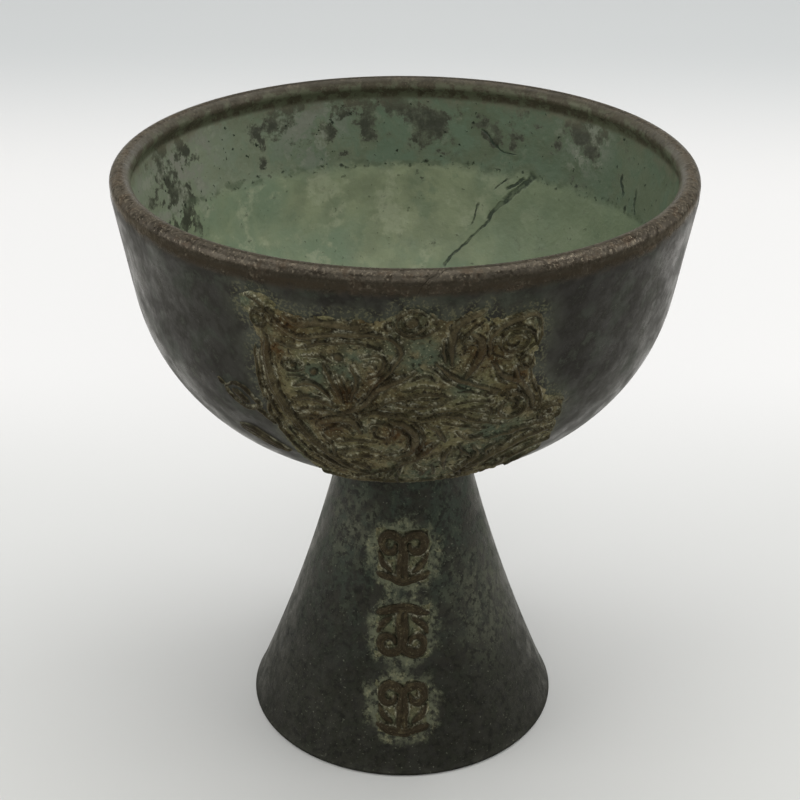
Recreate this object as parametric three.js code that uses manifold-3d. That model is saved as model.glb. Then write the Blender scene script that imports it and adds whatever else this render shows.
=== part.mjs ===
// A cast bronze wine cup: a deep bowl brazed on a hollow trumpet foot, with a dragon relief on its front.
// Millimetres, +Z up. The cup stands on Z = 0, centred on the Z axis, and its relief faces -Y.
import * as THREE from 'three';
import { mergeVertices } from 'three/addons/utils/BufferGeometryUtils.js';
import Module from 'manifold-3d';

const wasm = await Module();
wasm.setup();

const degree = Math.PI / 180;

// Bowl
const cupHeight = 82.7;
const mouthDiameter = 75; // over the lip
const lipWidth = 2.7; // across the rolled bead
const lipThickness = 2.6; // height of the bead
const lipOverhang = 0.2; // how far the bead stands out past the line of the wall
const lipTuck = 50 * degree; // how far below its widest line the bead meets the wall
const bowlWall = 1.9;
const wallLean = 9.2 * degree; // of the straight upper wall, from upright
const wallLength = 14.4; // of the straight upper wall, down from the middle of the lip
const bellyRadius = 27.1; // of the arc under the straight wall
const bellyEndLean = 53.5 * degree; // where the belly runs into the round bottom

// Foot
const baseDiameter = 44.2;
const neckDiameter = 16.7; // under the bowl
const footWall = 2.2;
const flareSag = 1.05; // how far the foot's side curves in from a straight cone
const baseEdge = 0.5; // rounding of the foot's lower edge

// Joints between the pieces
const seatGap = 0.3; // between pieces that touch
const brazeReach = 1.8; // of the fillet along the bowl and along the foot

// Relief, drawn in millimetres across the front and down from the middle of the lip
const reliefWrapRadius = 34; // distances across are measured at this radius
const plateThickness = 0.4; // of the thin ground behind the figures
const ridgeRoot = 0.1; // how far above the ground's back the ridges start
const figureHeight = 1.2; // of the strongest ridges above the bowl
const ridgeStep = 2.1; // between cross-sections along a ridge
const underLip = 0.05; // how far the relief stays inside the line of the lip

// Ornaments on the foot
const ornamentCount = 3;
const ornamentBaseGap = 5.2; // from the table to the lowest ornament
const ornamentNeckGap = 6.8; // from the highest ornament to the fillet
const ornamentGap = 2.2; // between two ornaments
const ornamentWidth = 8.4;
const ornamentStroke = 1;
const ornamentRelief = 0.6;
const ornamentStep = 1.2; // between cross-sections along an ornament's strokes

// Fineness
const roundSides = 56;
const arcStep = 9 * degree;

// Sizes that follow from those above
const lipHalf = new THREE.Vector2(lipWidth / 2, lipThickness / 2);
const lipCentre = new THREE.Vector2(mouthDiameter / 2 - lipHalf.x, cupHeight - lipHalf.y);
const wallTop = new THREE.Vector2(mouthDiameter / 2 - lipOverhang, lipCentre.y);
const wallEnd = new THREE.Vector2(
  wallTop.x - wallLength * Math.sin(wallLean),
  wallTop.y - wallLength * Math.cos(wallLean),
);
const bellyLength = bellyRadius * (bellyEndLean - wallLean);
const bellyEnd = new THREE.Vector2(
  wallEnd.x - bellyRadius * (Math.cos(wallLean) - Math.cos(bellyEndLean)),
  wallEnd.y - bellyRadius * (Math.sin(bellyEndLean) - Math.sin(wallLean)),
);
const bottomRadius = bellyEnd.x / Math.cos(bellyEndLean); // the round bottom is centred on the axis
const bottomCentre = bellyEnd.y + bottomRadius * Math.sin(bellyEndLean);
const neckRadius = neckDiameter / 2;
const footHeight = bowlUnderside(neckRadius) - seatGap;
const ornamentBand = footHeight - brazeReach - ornamentNeckGap - ornamentBaseGap;
const ornamentHeight = (ornamentBand - (ornamentCount - 1) * ornamentGap) / ornamentCount;

// The bowl's outside, at a distance down the wall from the middle of the lip.
function bowlOutside(down) {
  if (down <= wallLength) {
    return {
      r: wallTop.x - down * Math.sin(wallLean),
      z: wallTop.y - down * Math.cos(wallLean),
      lean: wallLean,
    };
  }
  if (down <= wallLength + bellyLength) {
    const lean = wallLean + (down - wallLength) / bellyRadius;
    return {
      r: wallEnd.x - bellyRadius * (Math.cos(wallLean) - Math.cos(lean)),
      z: wallEnd.y - bellyRadius * (Math.sin(lean) - Math.sin(wallLean)),
      lean,
    };
  }
  const lean = bellyEndLean + (down - wallLength - bellyLength) / bottomRadius;
  return { r: bottomRadius * Math.cos(lean), z: bottomCentre - bottomRadius * Math.sin(lean), lean };
}

// Height of the bowl's underside at a distance from the axis.
function bowlUnderside(radius) {
  return bottomCentre - Math.sqrt(bottomRadius ** 2 - radius ** 2);
}

// Outer radius of the foot at a height.
function footOutside(height) {
  const share = height / footHeight;
  const cone = THREE.MathUtils.lerp(baseDiameter / 2, neckRadius, share);
  return cone - flareSag * 4 * share * (1 - share);
}

function footLean(height) {
  const share = height / footHeight;
  const slope = (baseDiameter / 2 - neckRadius + flareSag * 4 * (1 - 2 * share)) / footHeight;
  return Math.atan(slope);
}

// Revolves a closed outline of radius and height about the Z axis.
function revolve(outline) {
  return new THREE.LatheGeometry(outline, roundSides).rotateX(Math.PI / 2);
}

// Points on an ellipse or circle in the plane of radius and height, counted anticlockwise.
function arc(centre, half, from, to) {
  const steps = Math.max(2, Math.round(Math.abs(to - from) / (arcStep * 3)));
  return Array.from({ length: steps + 1 }, (_, i) => {
    const angle = THREE.MathUtils.lerp(from, to, i / steps);
    return new THREE.Vector2(centre.x + half.x * Math.cos(angle), centre.y + half.y * Math.sin(angle));
  });
}

// The wall of the bowl from the axis up to the lip, moved inwards by a distance.
function bowlWallLine(inwards) {
  const belly = Math.round((bellyEndLean - wallLean) / arcStep);
  const bottom = Math.round((Math.PI / 2 - bellyEndLean) / arcStep);
  const leans = [];
  for (let i = bottom; i > 0; i -= 1) leans.push(bellyEndLean + ((Math.PI / 2 - bellyEndLean) * i) / bottom);
  for (let i = belly; i >= 0; i -= 1) leans.push(wallLean + ((bellyEndLean - wallLean) * i) / belly);
  const line = leans.map((lean) => {
    const down = lean > bellyEndLean
      ? wallLength + bellyLength + (lean - bellyEndLean) * bottomRadius
      : wallLength + (lean - wallLean) * bellyRadius;
    const wall = bowlOutside(down);
    return new THREE.Vector2(wall.r - inwards * Math.cos(lean), wall.z + inwards * Math.sin(lean));
  });
  line[0].x = 0;
  const underLip = lipHalf.y / Math.cos(wallLean);
  const top = bowlOutside(underLip);
  line.push(new THREE.Vector2(top.r - inwards / Math.cos(wallLean), top.z));
  return line;
}

function bowlGeometry() {
  const outside = bowlWallLine(0);
  const inside = bowlWallLine(bowlWall).reverse();
  const lip = arc(lipCentre, lipHalf, -lipTuck, Math.PI + lipTuck);
  return revolve([...outside, ...lip, ...inside]);
}

function footGeometry() {
  const steps = 6;
  const outside = [];
  const inside = [];
  for (let i = 0; i <= steps; i += 1) {
    const height = THREE.MathUtils.lerp(baseEdge, footHeight, i / steps);
    const lean = footLean(height);
    const radius = footOutside(height);
    outside.push(new THREE.Vector2(radius, height));
    inside.push(new THREE.Vector2(radius - footWall / Math.cos(lean), height));
  }
  const neckBore = inside[steps].x;
  inside[steps].y = bowlUnderside(neckBore) - seatGap;
  inside[0].y = 0;
  const bevel = new THREE.Vector2(footOutside(0) - baseEdge, 0);
  const outline = [bevel, ...outside, ...inside.reverse(), bevel.clone()];
  return revolve(outline);
}

// The fillet of filler metal in the corner between the neck and the underside of the bowl.
function brazeGeometry() {
  const lowest = footHeight - brazeReach;
  const foot = new THREE.Vector2(footOutside(lowest) + seatGap, lowest);
  const outerRadius = neckRadius + brazeReach;
  const bowl = new THREE.Vector2(outerRadius, bowlUnderside(outerRadius) - seatGap);
  const corner = new THREE.Vector2(neckRadius + seatGap, bowlUnderside(neckRadius + seatGap) - seatGap);
  const lean = footLean(lowest);
  const footEdge = foot.clone().add(new THREE.Vector2(seatGap * Math.cos(lean), 0));
  const bowlEdge = bowl.clone().add(new THREE.Vector2(0, -seatGap));
  const hollow = new THREE.QuadraticBezierCurve(
    footEdge,
    new THREE.Vector2(corner.x + seatGap, corner.y - seatGap * 2),
    bowlEdge,
  );
  return revolve([corner, foot, ...hollow.getPoints(2), bowl, corner.clone()]);
}

// A point on the bowl's drawing: across the front, down from the lip, and out from the wall.
function onBowl(across, down, out) {
  const wall = bowlOutside(down);
  const angle = across / reliefWrapRadius;
  const radius = Math.min(wall.r + out * Math.cos(wall.lean), mouthDiameter / 2 - underLip);
  const height = wall.z - out * Math.sin(wall.lean);
  return new THREE.Vector3(radius * Math.sin(angle), -radius * Math.cos(angle), height);
}

// A point on the front of the foot: across the front, at a height, and out from the side.
function onFoot(across, height, out) {
  const lean = footLean(height);
  const angle = across / footOutside(height);
  const radius = footOutside(height) + out * Math.cos(lean);
  return new THREE.Vector3(radius * Math.sin(angle), -radius * Math.cos(angle), height + out * Math.sin(lean));
}

// A closed mesh from rings of points: each ring is joined to the next, and the ends are capped.
function loft(rings, closed = false) {
  const sides = rings[0].length;
  const positions = rings.flat().flatMap((point) => [point.x, point.y, point.z]);
  const faces = [];
  const spans = closed ? rings.length : rings.length - 1;
  for (let i = 0; i < spans; i += 1) {
    const here = i * sides;
    const next = ((i + 1) % rings.length) * sides;
    for (let j = 0; j < sides; j += 1) {
      const k = (j + 1) % sides;
      faces.push(here + j, next + j, next + k, here + j, next + k, here + k);
    }
  }
  if (!closed) {
    const last = (rings.length - 1) * sides;
    for (let j = 1; j < sides - 1; j += 1) {
      faces.push(0, j, j + 1);
      faces.push(last, last + j + 1, last + j);
    }
  }
  const geometry = new THREE.BufferGeometry();
  geometry.setAttribute('position', new THREE.Float32BufferAttribute(positions, 3));
  geometry.setIndex(faces);
  return geometry;
}

// Geometry to solid, for joining and cutting.
function toSolid(geometry) {
  const bare = geometry.clone();
  bare.deleteAttribute('normal');
  bare.deleteAttribute('uv');
  const merged = mergeVertices(bare, 1e-4);
  const solid = new wasm.Manifold(new wasm.Mesh({
    numProp: 3,
    vertProperties: merged.attributes.position.array,
    triVerts: Uint32Array.from(merged.index.array),
  }));
  return solid;
}

function toGeometry(solid) {
  const mesh = solid.getMesh();
  const geometry = new THREE.BufferGeometry();
  geometry.setAttribute('position', new THREE.BufferAttribute(mesh.vertProperties, 3));
  geometry.setIndex(new THREE.BufferAttribute(mesh.triVerts, 1));
  return geometry;
}

// One raised stroke of the drawing: a rounded ridge along a curve, thinner at its tips.
// place puts a point of the drawing on the cup, path is a list of [across, down] points.
function ridge(place, path, { width, height, root, tips = 0.35, step = ridgeStep, closed = false }) {
  const curve = new THREE.CatmullRomCurve3(
    path.map(([x, y]) => new THREE.Vector3(x, y, 0)),
    closed,
    'centripetal',
  );
  const stations = Math.max(closed ? 8 : 3, Math.ceil(curve.getLength() / step) + 1);
  const rings = [];
  for (let i = 0; i < stations; i += 1) {
    const share = i / (closed ? stations : stations - 1);
    const at = curve.getPointAt(share);
    const along = curve.getTangentAt(share);
    const swell = closed ? 1 : tips + (1 - tips) * Math.sin(Math.PI * share) ** 0.5;
    const half = (width / 2) * swell;
    const crest = root + (height - root) * swell;
    const shoulder = root + (crest - root) * 0.55;
    const section = [[-half, root], [-half * 0.8, shoulder], [0, crest], [half * 0.8, shoulder], [half, root]];
    rings.push(section.map(([side, out]) => place(at.x + along.y * side, at.y - along.x * side, out)));
  }
  return toSolid(loft(rings, closed));
}

// A round knob: rings of points that draw in towards its crown.
function knob(place, [x, y], radius, { height, root }) {
  const sides = 10;
  const levels = [[1, root], [0.85, root + (height - root) * 0.6], [0.4, height]];
  const rings = levels.map(([share, out]) => Array.from({ length: sides }, (_, i) => {
    const angle = (2 * Math.PI * i) / sides;
    return place(x + radius * share * Math.cos(angle), y + radius * share * Math.sin(angle), out);
  }));
  return toSolid(loft(rings));
}

// Points of a curl that winds in from its outer radius to its inner one.
function curl([x, y], outer, inner, turns, start, squash = 1) {
  const count = Math.ceil(Math.abs(turns) * 8);
  return Array.from({ length: count + 1 }, (_, i) => {
    const radius = THREE.MathUtils.lerp(outer, inner, i / count);
    const angle = start + turns * 2 * Math.PI * (i / count);
    return [x + radius * Math.cos(angle), y + radius * squash * Math.sin(angle)];
  });
}

// Points of a closed ring in the drawing.
function ring([x, y], across, down) {
  const count = 8;
  return Array.from({ length: count }, (_, i) => {
    const angle = (2 * Math.PI * i) / count;
    return [x + across * Math.cos(angle), y + down * Math.sin(angle)];
  });
}

// The outline of the relief's thin ground, from its top left corner round by the right.
const groundOutline = [
  [-17.4, 2.2], [-14.6, 2.6], [-12, 4], [-8, 4], [-4.5, 3.8], [-1.8, 4.1], [-0.8, 2.5], [1.2, 1.9], [3, 2.7],
  [4.4, 3.9], [6.6, 3.2], [8.8, 2.6], [9.4, 4.6], [12, 4.2], [14.4, 3.9], [15.4, 6], [15.3, 10], [15.6, 13.8],
  [17.6, 16.6], [20.1, 18.6], [19.9, 21.5], [20.3, 26], [17, 29.4], [12, 32.2], [6, 34], [0, 34.8], [-6, 34.6],
  [-11.4, 33], [-14, 29], [-15.6, 24.4], [-16.8, 19.5], [-17.5, 15], [-17.4, 10.4], [-17, 7.8], [-18.4, 5],
];
const groundMiddle = [0.5, 17.5];
const groundPoints = 48;

// The strokes of the relief. Each has a width and a height in shares of the strongest.
const strokes = {
  backOuter: { path: [[-16.7, 9.4], [-16.9, 13], [-16.2, 17.5], [-15, 22], [-13.2, 26.4], [-10.4, 30]], width: 0.9 },
  backMiddle: { path: [[-15, 7.8], [-15, 12], [-14.2, 16], [-12.6, 20], [-10.6, 23.8], [-8, 27.6]], width: 1.9 },
  backInner: { path: [[-13.4, 19], [-12, 21.6], [-10, 25], [-7.2, 28.2], [-3.6, 30.4]], width: 0.9 },
  underTail: { path: [[-12.2, 31.4], [-8, 32.4], [-4, 32.6], [0, 32.2], [4.6, 31.8], [9, 30.8]], width: 1 },
  crestCurl: { path: curl([-15.3, 5.9], 1.5, 0.7, -0.9, 0.4), width: 0.8 },
  browUpper: {
    path: [[-14.4, 4.4], [-12.6, 6.5], [-10.6, 7.3], [-7.6, 6.6], [-4.4, 6.2], [-1.4, 6.7], [-0.4, 8.4], [-1.2, 10.8],
      [-2.8, 12.9]],
    width: 1.2,
  },
  browLower: { path: [[-13.6, 8.7], [-11, 8.6], [-8.4, 7.8], [-5, 7.4], [-2.4, 8.2]], width: 0.8 },
  manePoint: { path: [[-12.6, 5], [-10.8, 5.8], [-9, 5.2], [-6.4, 5.3], [-3.4, 5.4]], width: 1.5 },
  eye: { path: ring([-12, 11.4], 1.2, 0.8), width: 0.6, closed: true },
  jawUpper: { path: [[-8.6, 10.6], [-7.7, 13], [-6.6, 15.8]], width: 1.2 },
  jawLower: { path: [[-5.7, 10.4], [-5.1, 12.6], [-5.7, 15.6]], width: 1.1 },
  cheekUpper: { path: [[-12.2, 14.3], [-9.8, 13.6], [-8.1, 15.4]], width: 1.2 },
  cheekLower: { path: [[-12.4, 16.2], [-10, 15.7], [-7.4, 16.7]], width: 1.1 },
  neckRidge: { path: [[-6.8, 17.4], [-4.4, 16], [-3, 14], [-1, 12.6], [1.3, 11.2]], width: 1.1 },
  leafUpper: { path: [[-4.8, 17.2], [-2, 15.5], [0.6, 14.6], [2.8, 14.1], [5.2, 14.9]], width: 0.9 },
  leafLower: { path: [[-1, 15.8], [1.6, 16], [3.6, 15.7], [5.4, 14.8]], width: 0.8 },
  longFold: { path: [[-5.6, 18.4], [-3.4, 17.1], [-0.6, 17.3], [2, 18], [5, 17.3], [8, 18.7], [11.4, 19.8]], width: 0.9 },
  shoulder: { path: [[-10.2, 20], [-8.2, 18.5], [-6, 18.5], [-5, 20.6]], width: 2.3 },
  coil: { path: [[-1.6, 18.2], [0.3, 19.2], [1.4, 21.2], [0.8, 23.8], [-1.4, 25.4]], width: 2.2 },
  coilInner: { path: curl([-2.6, 20.2], 1.9, 1.1, 0.6, 3.4), width: 0.8 },
  hindLeaf: { path: [[2.4, 18.6], [3.8, 19.8], [4.9, 22]], width: 1.3 },
  foldUpper: { path: [[-7.8, 22.4], [-5.6, 21.8], [-3.2, 22.2]], width: 0.9 },
  foldLower: { path: [[-8.2, 24.2], [-5.4, 23.4], [-2.8, 23.9]], width: 1.1 },
  legFront: { path: [[3.9, 22.2], [2.4, 24.4], [0.4, 26], [-1.2, 27.6]], width: 1.4 },
  legBack: { path: [[5.6, 23.2], [5, 25.6], [5.4, 28.2]], width: 1.6 },
  rootA: { path: [[-1.2, 27.4], [-3, 29.8], [-5, 31.8]], width: 0.8 },
  rootB: { path: [[-0.8, 27.6], [-2, 30.2], [-3, 32.4]], width: 0.8 },
  rootC: { path: [[-0.4, 27.6], [-0.8, 30.2], [-1, 32.8]], width: 0.8 },
  pearlRing: { path: ring([0.8, 4.6], 1.5, 1.3), width: 0.8, closed: true },
  pearlWing: { path: [[-1.2, 5], [0.2, 6.2], [1.8, 6.3], [3.6, 5.4]], width: 0.8 },
  flameTall: { path: [[5.1, 10.4], [4.8, 7.6], [5.6, 5], [8.7, 3.5]], width: 1.4 },
  flameShort: { path: [[6.4, 12.2], [7.9, 10], [8, 7.6], [6.8, 6.2]], width: 1.8 },
  cloudCollar: { path: [[9, 9.6], [9, 7], [11, 5.4], [13.6, 4.9], [14.9, 6.6], [14.6, 9.2]], width: 1 },
  cloudCurl: { path: curl([11.8, 7.9], 2.3, 0.9, -1.4, 1.2, 0.8), width: 0.8 },
  smallCurl: { path: ring([13.3, 10.9], 0.9, 0.8), width: 0.7, closed: true },
  cloudStem: { path: [[9.4, 10.4], [10.6, 12.4], [12.6, 13.4], [14.2, 15.6], [14.9, 18.2]], width: 1.3 },
  groundFold: { path: [[3.4, 9.8], [5.2, 12], [8, 13.6], [10.6, 14.6]], width: 1.2 },
  bigCurl: { path: curl([12.1, 17.2], 2.3, 0.8, 1.2, -2.2), width: 0.9 },
  eyeLeaf: { path: ring([17.5, 19.4], 1.6, 1.1), width: 0.9, closed: true },
  leafTail: { path: [[18.2, 21.2], [15.4, 20.9], [12.6, 21.6], [9.6, 22]], width: 1 },
  sweepA: { path: [[19.2, 22.6], [15.8, 23], [13, 24.6], [10.2, 27], [8.2, 29.4]], width: 1.3 },
  sweepB: { path: [[19.6, 24.9], [16.4, 25.6], [13.4, 27.8], [11, 30.4]], width: 1.2 },
  sweepC: { path: [[8.4, 23.2], [9.4, 25], [8, 27.4], [7.2, 29.6]], width: 1.2 },
  wispUpper: { path: [[-15.6, 19.2], [-18, 19.4], [-20.4, 19.3], [-21.3, 18.2], [-20.2, 17.3], [-19.4, 18.2]], width: 0.9 },
  wispLower: { path: [[-12.8, 28.2], [-16.4, 27.4], [-19.4, 27], [-22, 25.4], [-23.2, 24]], width: 1.7 },
};
const knobs = [
  { at: [0.8, 4.6], radius: 0.8 },
  { at: [-12, 11.4], radius: 0.5 },
  { at: [-9.7, 11.9], radius: 0.7 },
  { at: [-7, 9.6], radius: 0.8 },
  { at: [9.8, 14.6], radius: 0.7 },
];

// The ground is drawn from its middle outwards, so that it follows the round of the bowl.
function groundSolid() {
  const outline = new THREE.CatmullRomCurve3(
    groundOutline.map(([x, y]) => new THREE.Vector3(x, y, 0)),
    true,
    'centripetal',
  );
  const around = outline.getSpacedPoints(groundPoints).slice(0, -1);
  const shares = [1, 0.8, 0.6, 0.4, 0.2, 0.06];
  const rows = (out) => shares.map((share) => around.map((point) => onBowl(
    THREE.MathUtils.lerp(groundMiddle[0], point.x, share),
    THREE.MathUtils.lerp(groundMiddle[1], point.y, share),
    out,
  )));
  const back = rows(seatGap).reverse();
  const front = rows(seatGap + plateThickness);
  return toSolid(loft([...back, ...front]));
}

function reliefGeometry() {
  const root = seatGap + ridgeRoot;
  let relief = groundSolid();
  for (const { path, width, closed } of Object.values(strokes)) {
    const height = THREE.MathUtils.lerp(seatGap + plateThickness, figureHeight, Math.min(1, 0.5 + width / 4));
    relief = relief.add(ridge(onBowl, path, { width, height, root, closed }));
  }
  for (const { at, radius } of knobs) {
    relief = relief.add(knob(onBowl, at, radius, { height: figureHeight, root }));
  }
  return toGeometry(relief);
}

// A generic cloud head: two curls that rise from a shared stem and wind inwards, over a curved bar.
// Every other one hangs the other way up.
function ornamentGeometry(middle, turn) {
  const place = (across, down, out) => onFoot(turn * across, middle - turn * down, out);
  const stroke = { width: ornamentStroke, height: seatGap + ornamentRelief, root: seatGap, tips: 0.7, step: ornamentStep };
  const reach = (ornamentHeight - ornamentStroke) / 2;
  const half = (ornamentWidth - ornamentStroke) / 2;
  const curlRadius = half / 2;
  const curlTop = curlRadius - reach;
  let ornament = ridge(place, [[-half, reach * 0.7], [0, reach], [half, reach * 0.7]], stroke);
  for (const side of [-1, 1]) {
    const turns = curl([-curlRadius, curlTop], curlRadius * 0.9, curlRadius * 0.5, -0.8, 0).map(([x, y]) => [-side * x, y]);
    const stem = [side * ornamentStroke * 0.35, reach];
    ornament = ornament.add(ridge(place, [stem, ...turns], stroke));
  }
  return toGeometry(ornament);
}

const finishes = {
  castBronze: { color: 0x3d3d37, roughness: 0.55, metalness: 0.8 },
  footBronze: { color: 0x2f2e28, roughness: 0.6, metalness: 0.75 },
  reliefBronze: { color: 0x463f2c, roughness: 0.65, metalness: 0.6 },
  brazeMetal: { color: 0x4a4636, roughness: 0.6, metalness: 0.7 },
};

const cup = new THREE.Group();

function addPart(name, geometry, finish) {
  const part = new THREE.Mesh(geometry, new THREE.MeshStandardMaterial(finish));
  part.name = name;
  cup.add(part);
}

addPart('bowl', bowlGeometry(), finishes.castBronze);
addPart('foot', footGeometry(), finishes.footBronze);
addPart('braze_ring', brazeGeometry(), finishes.brazeMetal);
addPart('dragon_relief', reliefGeometry(), finishes.reliefBronze);

const ornamentNames = ['lower', 'middle', 'upper'];
for (let i = 0; i < ornamentCount; i += 1) {
  const middle = ornamentBaseGap + ornamentHeight / 2 + i * (ornamentHeight + ornamentGap);
  const turn = i % 2 === 0 ? 1 : -1;
  addPart(`foot_ornament_${ornamentNames[i]}`, ornamentGeometry(middle, turn), finishes.reliefBronze);
}

export default cup;
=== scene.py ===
import math
import bmesh
import bpy
import numpy as np
from mathutils import Matrix, Vector


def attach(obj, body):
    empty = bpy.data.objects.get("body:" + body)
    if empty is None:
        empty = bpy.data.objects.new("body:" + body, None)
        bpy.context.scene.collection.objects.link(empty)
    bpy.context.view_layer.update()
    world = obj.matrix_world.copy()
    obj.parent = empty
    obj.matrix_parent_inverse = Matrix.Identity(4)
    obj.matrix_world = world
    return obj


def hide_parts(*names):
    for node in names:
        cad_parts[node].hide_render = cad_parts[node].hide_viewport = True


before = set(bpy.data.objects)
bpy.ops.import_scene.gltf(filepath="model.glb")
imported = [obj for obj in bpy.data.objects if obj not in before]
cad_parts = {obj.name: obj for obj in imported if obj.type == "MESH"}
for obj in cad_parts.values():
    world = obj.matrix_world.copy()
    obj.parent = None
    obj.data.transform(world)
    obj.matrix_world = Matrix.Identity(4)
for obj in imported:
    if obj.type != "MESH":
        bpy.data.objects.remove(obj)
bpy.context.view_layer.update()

print("cup: frame loaded")
mm = 0.001


# The one place where a written sRGB colour becomes linear light
def linear(hexText):
    parts = [int(hexText[i:i + 2], 16) / 255 for i in (1, 3, 5)]
    return [c / 12.92 if c <= 0.04045 else ((c + 0.055) / 1.055) ** 2.4 for c in parts] + [1.0]


# Sizes of the castings in millimetres and degrees, as in the CAD. Only the bowl's wall is about 0.3 wider and
# runs flush into the lip, as the outline in the photograph shows it.
bowlForm = {
    "height": 82.7, "mouth": 75.0, "lipWidth": 2.7, "lipThickness": 2.6, "lipOverhang": -0.17,
    "lipStart": 5.0,        # how far under its widest line the bead leaves the wall outside
    "lipTuck": 12.0,        # and how far under it the bead meets the wall inside
    "wall": 1.9, "wallLean": 9.5, "wallLength": 14.4, "bellyRadius": 27.1, "bellyEndLean": 53.5,
    "tideDepth": 11.4,      # of the faint step inside, down from the middle of the lip
    "tideStep": 0.18,       # how far the wall steps there
    "tideEnd": 26.0,        # depth at which the wall has its own thickness again
    "lipFillet": 0.12,      # how much the wall thickens inside under the lip
    "filletDepth": 4.2,     # down to which it does so
    "outsideRows": 56, "lipRows": 25, "insideRows": 60, "roundSteps": 256, "searchSteps": 400,
}
footForm = {
    "base": 44.2, "neck": 16.7, "wall": 2.2, "sag": 1.05, "edge": 0.5, "edgeRows": 5, "seatGap": 0.3,
    "roundSteps": 192, "rows": 48,
}
brazeForm = {
    "reach": 1.8,           # along the bowl and along the foot
    "hollow": 0.25,         # from the neck to the corner that its curve is drawn towards
    "proud": 0.04,          # how far its edges stand out of the castings
    "sunkInNeck": (0.6, 0.3), "sunkInFoot": 0.5, "sunkInBowl": (0.4, 0.5),
    "rows": 9, "roundSteps": 128,
}

wallLean = math.radians(bowlForm["wallLean"])
bellyEndLean = math.radians(bowlForm["bellyEndLean"])
wallLength = bowlForm["wallLength"]
bellyRadius = bowlForm["bellyRadius"]
lipHalfWidth = bowlForm["lipWidth"] / 2
lipHalfHeight = bowlForm["lipThickness"] / 2
lipRadius = bowlForm["mouth"] / 2 - lipHalfWidth
lipHeight = bowlForm["height"] - lipHalfHeight  # of the middle of the lip
wallTopRadius = bowlForm["mouth"] / 2 - bowlForm["lipOverhang"]
wallEndRadius = wallTopRadius - wallLength * math.sin(wallLean)
wallEndHeight = lipHeight - wallLength * math.cos(wallLean)
bellyLength = bellyRadius * (bellyEndLean - wallLean)
bellyEndRadius = wallEndRadius - bellyRadius * (math.cos(wallLean) - math.cos(bellyEndLean))
bellyEndHeight = wallEndHeight - bellyRadius * (math.sin(bellyEndLean) - math.sin(wallLean))
bottomRadius = bellyEndRadius / math.cos(bellyEndLean)
bottomCentre = bellyEndHeight + bottomRadius * math.sin(bellyEndLean)
bowlLength = wallLength + bellyLength + (math.pi / 2 - bellyEndLean) * bottomRadius  # down to its middle
neckRadius = footForm["neck"] / 2


# Radius, height and lean of the bowl's outside at a distance down from the middle of the lip
def bowlOutside(down):
    down = np.asarray(down, float)
    onWall = down <= wallLength
    onBelly = down <= wallLength + bellyLength
    lean = np.where(onWall, wallLean,
                    np.where(onBelly, wallLean + (down - wallLength) / bellyRadius,
                             bellyEndLean + (down - wallLength - bellyLength) / bottomRadius))
    r = np.where(onWall, wallTopRadius - down * math.sin(wallLean),
                 np.where(onBelly, wallEndRadius - bellyRadius * (math.cos(wallLean) - np.cos(lean)),
                          bottomRadius * np.cos(lean)))
    z = np.where(onWall, lipHeight - down * math.cos(wallLean),
                 np.where(onBelly, wallEndHeight - bellyRadius * (np.sin(lean) - math.sin(wallLean)),
                          bottomCentre - bottomRadius * np.sin(lean)))
    return r, z, lean


def bowlUnderside(radius):
    return bottomCentre - math.sqrt(bottomRadius ** 2 - radius ** 2)


footHeight = bowlUnderside(neckRadius)


def footOutside(height):
    share = np.asarray(height, float) / footHeight
    cone = footForm["base"] / 2 + (neckRadius - footForm["base"] / 2) * share
    return cone - footForm["sag"] * 4 * share * (1 - share)


def footLean(height):
    share = np.asarray(height, float) / footHeight
    slope = (footForm["base"] / 2 - neckRadius + footForm["sag"] * 4 * (1 - 2 * share)) / footHeight
    return np.arctan(slope)


# Adds an object with nothing else selected, and names it
def added(operator, name, **settings):
    bpy.ops.object.select_all(action="DESELECT")
    operator(**settings)
    bpy.context.object.name = name
    return bpy.context.object


weld = 0.001 * mm  # distance under which two corners are one


# Merges a plane to one corner, extrudes it along a profile, and spins the line round the cup's axis
def turnedPiece(name, profile, steps, closed):
    piece = added(bpy.ops.mesh.primitive_plane_add, name, size=mm)
    bpy.ops.object.mode_set(mode="EDIT")
    bpy.ops.mesh.merge(type="CENTER")
    bpy.ops.transform.translate(value=(profile[0][0] * mm, 0, profile[0][1] * mm))
    for here, there in zip(profile, profile[1:]):
        move = ((there[0] - here[0]) * mm, 0, (there[1] - here[1]) * mm)
        bpy.ops.mesh.extrude_region_move(TRANSFORM_OT_translate={"value": move})
    bpy.ops.mesh.select_all(action="SELECT")
    if closed:
        bpy.ops.mesh.remove_doubles(threshold=weld)
        bpy.ops.mesh.select_all(action="SELECT")
    bpy.ops.mesh.spin(steps=steps, angle=2 * math.pi, center=(0, 0, 0), axis=(0, 0, 1))
    bpy.ops.mesh.select_all(action="SELECT")
    bpy.ops.mesh.remove_doubles(threshold=weld)
    bpy.ops.mesh.select_all(action="SELECT")
    bpy.ops.mesh.normals_make_consistent(inside=False)
    bpy.ops.object.mode_set(mode="OBJECT")
    piece.data.polygons.foreach_set("use_smooth", [True] * len(piece.data.polygons))
    piece.data.update()
    return piece


def vertexPlaces(piece):
    places = np.empty(len(piece.data.vertices) * 3)
    piece.data.vertices.foreach_get("co", places)
    return places.reshape(-1, 3) / mm


def setPlaces(piece, places):
    piece.data.vertices.foreach_set("co", (places * mm).ravel())
    piece.data.update()


def setShares(piece, name, values):
    attribute = piece.data.attributes.new(name, "FLOAT", "POINT")
    attribute.data.foreach_set("value", np.asarray(values, np.float32))


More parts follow.
